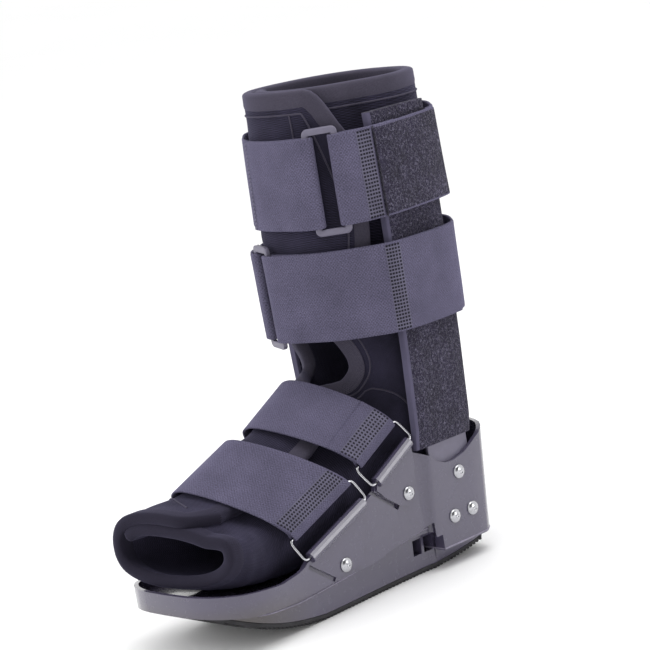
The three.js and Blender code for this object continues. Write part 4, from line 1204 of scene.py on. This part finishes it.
leg_rows = [
    (-0.898, 1.145, 0.823, 0.463, 0.866, 0.00, 2.3, 2.4, -25, 23, 54),
    (-0.983, 1.226, 0.827, 0.711, 0.888, 0.00, 2.3, 2.4, 0, 0, 60),
    (-1.018, 1.333, 0.845, 0.959, 0.940, 0.00, 2.3, 2.4, 54, -42, 64),
    (-1.036, 1.484, 0.925, 1.215, 0.983, 0.00, 2.3, 2.4, 63, -50, 66),
    (-1.009, 1.672, 0.983, 1.484, 0.990, 0.00, 2.3, 2.4, 64, -50, 66),
    (-0.992, 1.860, 0.983, 1.753, 0.956, 0.00, 2.3, 2.4, 64, -50, 66),
    (-0.974, 2.000, 0.956, 1.985, 0.951, 0.00, 2.3, 2.4, 62, -50, 66),
]
table = {}
for k, label in enumerate(columns):
    foot = np.array([row[k] for row in foot_rows], float)
    leg = np.array([row[k] for row in leg_rows], float)
    if label in ("front_y", "back_y"):
        foot = along(foot)
        leg = leg_centre + leg * leg_half_depth
    if label == "width":
        foot = foot * liner_half_width
        leg = leg * leg_half_width
    table[label] = np.concatenate([foot, leg])
last_row = len(table["top"]) - 1


def catmull(a, b, c, d, t):
    return b + 0.5 * t * (c - a + t * (2 * a - 5 * b + 4 * c - d + t * (3 * (b - c) + d - a)))


def section_value(label, s):
    values = table[label]
    i = np.clip(np.floor(s).astype(int), 0, last_row - 1)
    near = [values[np.clip(i + k, 0, last_row)] for k in (-1, 0, 1, 2)]
    return catmull(*near, s - i)


def liner_point(s, angle, depth):
    front = np.stack([section_value("front_y", s), level(section_value("front_z", s))], axis=-1)
    back = np.stack([section_value("back_y", s), level(section_value("back_z", s))], axis=-1)
    reach = np.linalg.norm(front - back, axis=-1) / 2
    middle = (front + back) / 2
    up = (front - back) / (2 * reach[..., None])
    lap = section_value("lap", s)
    under = (liner_wall + flap_gap) * (1 - ease(lap, lap + lap_rise, angle))
    inset = depth + under
    turn = np.radians(angle)
    cosine, sine = np.cos(turn), np.sin(turn)
    bend = 2 / np.where(cosine > 0, section_value("top", s), section_value("sole", s))
    x = (section_value("width", s) - inset) * power(sine, bend)
    rise = (reach - inset) * power(cosine, bend)
    crest = power(np.maximum(0, cosine), 2 * bend)
    ridge = section_value("ridge", s) * section_value("width", s) * crest
    toe = 1 - ease(0, 3, s)
    y = middle[..., 0] + rise * up[..., 0] + toe * toe_skew * x
    z = middle[..., 1] + rise * up[..., 1] - toe * toe_lean * x * ease(-0.5, 1, cosine)
    return np.stack([x - ridge, y, z], axis=-1) * mm


def sheet_place(u, v):
    """Section and angle of a place on the sheet: u runs round a section, v from toe to cuff."""
    plain = v * last_row
    first = section_value("inner", plain)
    final = 360 + section_value("outer", plain)
    angle = first + u * (final - first)
    past = angle - 360
    toe_cut = toe_cut_rows * ease(8, 44, past) * (1 - ease(0, 3, plain))
    cuff_cut = cuff_cut_rows * ease(30, 66, past) * ease(last_row - 3, last_row, plain)
    return plain + toe_cut - cuff_cut, angle


def sheet_grid(across, along_steps):
    u, v = np.meshgrid(np.linspace(0, 1, across + 1), np.linspace(0, 1, along_steps + 1))
    return u, v


def on_sheet(u, v, depth=0.0):
    s, angle = sheet_place(u, v)
    return liner_point(s, angle, depth)


def grid_normals(points):
    """Unit normals of a grid of points, pointing out of the boot."""
    return unit(np.cross(np.gradient(points, axis=1), np.gradient(points, axis=0)))


# %% [markdown]
# ### Swelling
# Foam under cloth swells wherever nothing presses on it. A coarse copy of the sheet is blown up a little by
# a cloth simulation: its inner face, its edges and whatever lies under a strap, an upright or the shell are
# held. How far the cloth may move is capped by the room that its neighbours leave.

# %% Room round the liner
far_off = 0.03
least_gap = 0.6 * mm
most_swell = 4.5 * mm
rough_width = 0.36
rough_length = 0.48
edge_hold = (0.008, 0.026)
neighbours = []
for name, obj in nodes.items():
    if name == "liner":
        continue
    tree_points = [v.co.copy() for v in obj.data.vertices]
    tree_faces = [tuple(p.vertices) for p in obj.data.polygons]
    neighbours.append(BVHTree.FromPolygons(tree_points, tree_faces))


def room(point):
    """Distance to the nearest other piece."""
    found = [tree.find_nearest(point, far_off) for tree in neighbours]
    gaps = [hit[3] for hit in found if hit[0] is not None]
    return min(gaps) if gaps else far_off


cage_across, cage_along = 72, 66
cage_u, cage_v = sheet_grid(cage_across, cage_along)
cage = on_sheet(cage_u, cage_v)
cage_inner = on_sheet(cage_u, cage_v, liner_wall)
cage_s, cage_angle = sheet_place(cage_u, cage_v)
cage_room = np.array([[room(Vector(p)) for p in row] for row in cage])
lap_at = section_value("lap", cage_s)
covered = 1 - ease(lap_at, lap_at + lap_rise, cage_angle)
edge_across = np.minimum(cage_u, 1 - cage_u) * rough_width
edge_along = np.minimum(cage_v, 1 - cage_v) * rough_length
free = ease(*edge_hold, edge_across) * ease(*edge_hold, edge_along)
free *= 1 - ease(0.1, 0.5, covered)
free *= ease(0.7 * mm, 5 * mm, cage_room)
swell_cap = np.clip(cage_room - least_gap, 0, most_swell)


# %% Blow up the sheet
cage_normal = grid_normals(cage)
balloon = mesh_piece("balloon", *closed_sheet(cage, cage_inner))
held = balloon.vertex_groups.new(name="held")
weights = np.concatenate([(1 - free).ravel(), np.ones(cage_inner[..., 0].size)])
for index, weight in enumerate(weights):
    held.add([index], float(weight), "REPLACE")
pick(balloon)
cloth_modifier = balloon.modifiers.new("Cloth", "CLOTH")
cloth_modifier.settings.use_pressure = True
cloth_modifier.settings.uniform_pressure_force = 4
cloth_modifier.settings.vertex_group_mass = "held"
cloth_modifier.settings.effector_weights.gravity = 0
for number in range(1, 21):
    scene.frame_set(number)
swollen = balloon.evaluated_get(bpy.context.evaluated_depsgraph_get())
moved = np.array([v.co for v in swollen.data.vertices])[: cage[..., 0].size].reshape(cage.shape)
swelling = np.clip(np.sum((moved - cage) * cage_normal, axis=-1), 0, swell_cap)
scene.frame_set(1)
bpy.data.objects.remove(balloon)
print("swelling in mm, mean and most:", *np.round([swelling.mean() / mm, swelling.max() / mm], 2))


# %% The fine sheet
def sample(grid, u, v):
    """Smooth lookup in a grid that covers the sheet."""
    high, wide = grid.shape
    x, y = u * (wide - 1), v * (high - 1)
    i = np.clip(np.floor(x).astype(int), 0, wide - 2)
    j = np.clip(np.floor(y).astype(int), 0, high - 2)
    rows = []
    for m in (-1, 0, 1, 2):
        at_row = np.clip(j + m, 0, high - 1)
        near = [grid[at_row, np.clip(i + k, 0, wide - 1)] for k in (-1, 0, 1, 2)]
        rows.append(catmull(*near, x - i))
    return catmull(*rows, y - j)


rumple_height = 0.35 * mm
map_round = 0.33
map_length = 0.46
fine_across, fine_along = 170, 190
fine_u, fine_v = sheet_grid(fine_across, fine_along)
fine = on_sheet(fine_u, fine_v)
fine_normal = grid_normals(fine)
fine_swell = np.clip(sample(swelling, fine_u, fine_v), 0, None)
fine_free = np.clip(sample(free, fine_u, fine_v), 0, 1)
fine_s, fine_angle = sheet_place(fine_u, fine_v)
rumple = np.sin(fine_s * 4.1 + fine_angle * 0.031) * np.sin(fine_angle * 0.083 + fine_s * 0.9)
rumple += 0.5 * np.sin(fine_s * 7.7 - fine_angle * 0.061 + 1.0)
offset = fine_swell + rumple_height * rumple * fine_free
fine_face = fine + fine_normal * offset[..., None]
liner = mesh_piece("liner_padded", *closed_sheet(fine_face, on_sheet(fine_u, fine_v, liner_wall)))
laid = np.stack([(fine_angle / 360 * map_round).ravel(), (fine_v * map_length).ravel()], axis=1)
lay_map(liner, np.tile(laid, (2, 1)))
smooth_shading(liner, 60)
hand_over(liner, liner_face, "liner", "liner")
print("liner triangles:", count(liner))


# %% [markdown]
# ### Binding
# Every raw edge of the liner is wrapped in a smooth tape about 9 mm wide. The tape follows the sheet's four
# edges as one loop. At each step its section goes over the outer face, round the edge and back inside,
# and at the sheet's corners it fans round. Round the toe opening the tape is painted darker, as painted
# shade.

# %% Frames along the sheet's edge
def sheet_frame(u, v):
    """Point of the middle of the wall, normal and the two tangents at places on the sheet."""
    step = 0.002
    middle = liner_wall / 2
    left, right = np.clip(u - step, 0, 1), np.clip(u + step, 0, 1)
    below, above = np.clip(v - step, 0, 1), np.clip(v + step, 0, 1)
    du = (on_sheet(right, v, middle) - on_sheet(left, v, middle)) / (right - left)[:, None]
    dv = (on_sheet(u, above, middle) - on_sheet(u, below, middle)) / (above - below)[:, None]
    return on_sheet(u, v, middle), unit(np.cross(du, dv)), du, dv


def inward_place(u, v, direction, distance, moves=6):
    """The place on the sheet that lies a distance away in a given direction, reached in small moves."""
    if moves > 1:
        for _ in range(moves):
            u, v = inward_place(u, v, direction, distance / moves, 1)
        return u, v
    _, _, du, dv = sheet_frame(u, v)
    grid_uu = np.sum(du * du, axis=1)
    grid_uv = np.sum(du * dv, axis=1)
    grid_vv = np.sum(dv * dv, axis=1)
    right_u = np.sum(direction * du, axis=1)
    right_v = np.sum(direction * dv, axis=1)
    det = grid_uu * grid_vv - grid_uv ** 2
    step_u = (right_u * grid_vv - right_v * grid_uv) / det * distance
    step_v = (right_v * grid_uu - right_u * grid_uv) / det * distance
    return np.clip(u + step_u, 0, 1), np.clip(v + step_v, 0, 1)


edge_steps = {"toe": 110, "outer": 200, "cuff": 110, "inner": 200}
corners = np.array([(0, 0), (1, 0), (1, 1), (0, 1)])
edges = []
for k, steps in enumerate(edge_steps.values()):
    start, end = corners[k], corners[(k + 1) % 4]
    u, v = (start + (end - start) * np.linspace(0, 1, steps)[:, None]).T
    _, normal, du, dv = sheet_frame(u, v)
    way = unit((end[0] - start[0]) * du + (end[1] - start[1]) * dv)
    edges.append((u, v, np.cross(normal, way)))
loop_u, loop_v, loop_in = [], [], []
fan = 5
for k, (u, v, inward) in enumerate(edges):
    loop_u.extend(u)
    loop_v.extend(v)
    loop_in.extend(inward)
    next_inward = edges[(k + 1) % 4][2]
    for t in np.linspace(0, 1, fan + 2)[1:-1]:
        loop_u.append(u[-1])
        loop_v.append(v[-1])
        loop_in.append(unit(inward[-1] * (1 - t) + next_inward[0] * t))
loop_u, loop_v, loop_in = np.array(loop_u), np.array(loop_v), np.array(loop_in)

# %% Sweep the tape
tape_width = 9 * mm
tape_lift = 0.7 * mm
tape_tuck = 0.9 * tape_lift
tape_half = liner_wall * mm / 2 + tape_lift
tape_nose = 0.55 * tape_half
tape_round = 0.03
toe_shade_end = -60 * mm
base, normal, _, _ = sheet_frame(loop_u, loop_v)


def tape_row(distance, face):
    """The tape's line at a distance inside the edge, on the outer face (1) or the inner one (-1)."""
    here, out, _, _ = sheet_frame(*inward_place(loop_u, loop_v, loop_in, distance))
    lift = tape_half if distance < tape_width else tape_half - tape_tuck
    return here + face * out * lift


rows = [tape_row(distance, 1) for distance in np.linspace(tape_width, 0, 5)]
for turn in np.radians(np.linspace(90, -90, 9)[1:-1]):
    rows.append(base + normal * tape_half * math.sin(turn) - loop_in * tape_nose * math.cos(turn))
rows += [tape_row(distance, -1) for distance in np.linspace(0, tape_width, 5)]
tape = face_outward(swept("liner_binding", np.stack(rows, axis=1), closed=True))
travel = lengths_along(base)
unroll(tape, travel, np.linspace(0, tape_round, len(rows)))
smooth_shading(tape, 60)
hand_over(tape, binding_face, "liner")
# Faces towards the toe take the darker copy of the tape, as painted shade
tape.data.materials.append(toe_binding_shade)
for face in tape.data.polygons:
    if face.center.y < toe_shade_end:
        face.material_index = 1
print("binding triangles:", count(tape), "edge length in mm:", round(travel[-1] / mm))

# %% [markdown]
# ### Piping and seams
# A thin cord is sewn into the liner's face about 12 mm inside the cuff and the outer flap's edge, and a
# shorter one inside the inner flap's edge. Raised seams show where the panels meet. Each is a fine tube laid
# along a line of the sheet.


# %% Cords on the sheet
cord_stand = 0.35
cord_sides = 8


def cord(name, u, v, radius):
    """A round cord, partly sunk into the outer face, along a line of places."""
    _, normal, _, _ = sheet_frame(u, v)
    face = on_sheet(u, v) + normal * sample(offset, u, v)[:, None]
    centre = face + normal * radius * cord_stand
    side = np.cross(normal, unit(np.gradient(centre, axis=0)))
    turns = np.linspace(0, math.tau, cord_sides, endpoint=False)
    around = [centre + radius * (normal * math.cos(a) + side * math.sin(a)) for a in turns]
    obj = swept(name, np.stack(around, axis=1))
    unroll(obj, lengths_along(centre), turns * radius)
    smooth_shading(obj, 60)
    return hand_over(obj, binding_face, "liner")


def smoothed(values, passes=12):
    values = np.array(values, dtype=float)
    for _ in range(passes):
        values[1:-1] = 0.25 * values[:-2] + 0.5 * values[1:-1] + 0.25 * values[2:]
    return values


def along_line(u, v, number):
    t = np.linspace(0, 1, len(u))
    fine_t = np.linspace(0, 1, number)
    return smoothed(np.interp(fine_t, t, u)), smoothed(np.interp(fine_t, t, v))


def inside_edge(edge, start, end, number, distance):
    """A line a distance inside one edge of the sheet: the cuff, or the outer or inner flap's edge."""
    run_places = np.linspace(start, end, number)
    if edge == "cuff":
        u, v = run_places, np.ones(number)
    else:
        u, v = np.full(number, 1.0 if edge == "outer" else 0.0), run_places
    _, normal, du, dv = sheet_frame(u, v)
    tangent = du if edge == "cuff" else dv
    into_sheet = {"cuff": -dv, "outer": -du, "inner": du}[edge]
    inward = np.cross(normal, unit(tangent))
    inward *= np.sign(np.sum(inward * into_sheet, axis=1))[:, None]
    return np.array(inward_place(u, v, inward, distance))


cuff_line = inside_edge("cuff", 0.06, 0.965, 120, 12.5 * mm)
flap_line = inside_edge("outer", 0.90, 0.30, 120, 12.5 * mm)
throat_line = inside_edge("inner", 0.36, 0.68, 90, 12 * mm)
cord("piping_cuff", *along_line(*np.concatenate([cuff_line, flap_line], axis=1), 420), 0.65 * mm)
cord("piping_throat", *map(smoothed, throat_line), 0.6 * mm)
seams = {
    "seam_panel": [(0.080, 0.430), (0.066, 0.463), (0.076, 0.489), (0.100, 0.508), (0.129, 0.520),
                   (0.153, 0.520), (0.185, 0.500)],
    "seam_cuff": [(0.906, 0.966), (0.906, 0.93), (0.905, 0.88), (0.904, 0.84)],
    "seam_toe": [(0.800, 0.105), (0.840, 0.092), (0.882, 0.074), (0.924, 0.050)],
}
for name, line in seams.items():
    cord(name, *along_line(*np.array(line).T, 90), 0.6 * mm)

# %% [markdown]
# ## Pile sleeves and patch
# The uprights wear sleeves of pile cloth, and the upper strap's short tab is sewn to a patch of it. The
# straps' hooks grip this pile. The front edges of the sleeves and the rims of the patch are bound in webbing.

# %% Sleeves
front_facing = -0.4
for side in ("lateral", "medial"):
    sleeve = clean_copy(f"sleeve_{side}", f"pile_sleeve_{side}")
    soften(sleeve, 0.6 * mm, 2, 50)
    modify(sleeve, "SUBSURF", levels=2, render_levels=2, subdivision_type="SIMPLE")
    smooth_shading(sleeve, 50)
    hand_over(sleeve, pile_face, "pile", f"sleeve_{side}")
    sleeve.data.materials.append(webbing_face)
    for face in sleeve.data.polygons:
        if face.normal.y < front_facing:
            face.material_index = 1

# %% Patch
patch_thickness = 3
patch_border = 0.04
patch_path = run(upper, 73, 112, steady(webbing + clearance + patch_thickness / 2), 2)
patch = strap_on_ring("pile_patch_sewn", upper, patch_path, "pile_patch", patch_thickness)
hand_over(patch, pile_face, "pile", "pile_patch")
patch.data.materials.append(webbing_face)
flat_map = patch.data.uv_layers[0].data
for face in patch.data.polygons:
    height = np.mean([flat_map[i].uv.y for i in face.loop_indices]) / (strap_width * mm)
    if abs(height - 0.5) > 0.5 - patch_border:
        face.material_index = 1
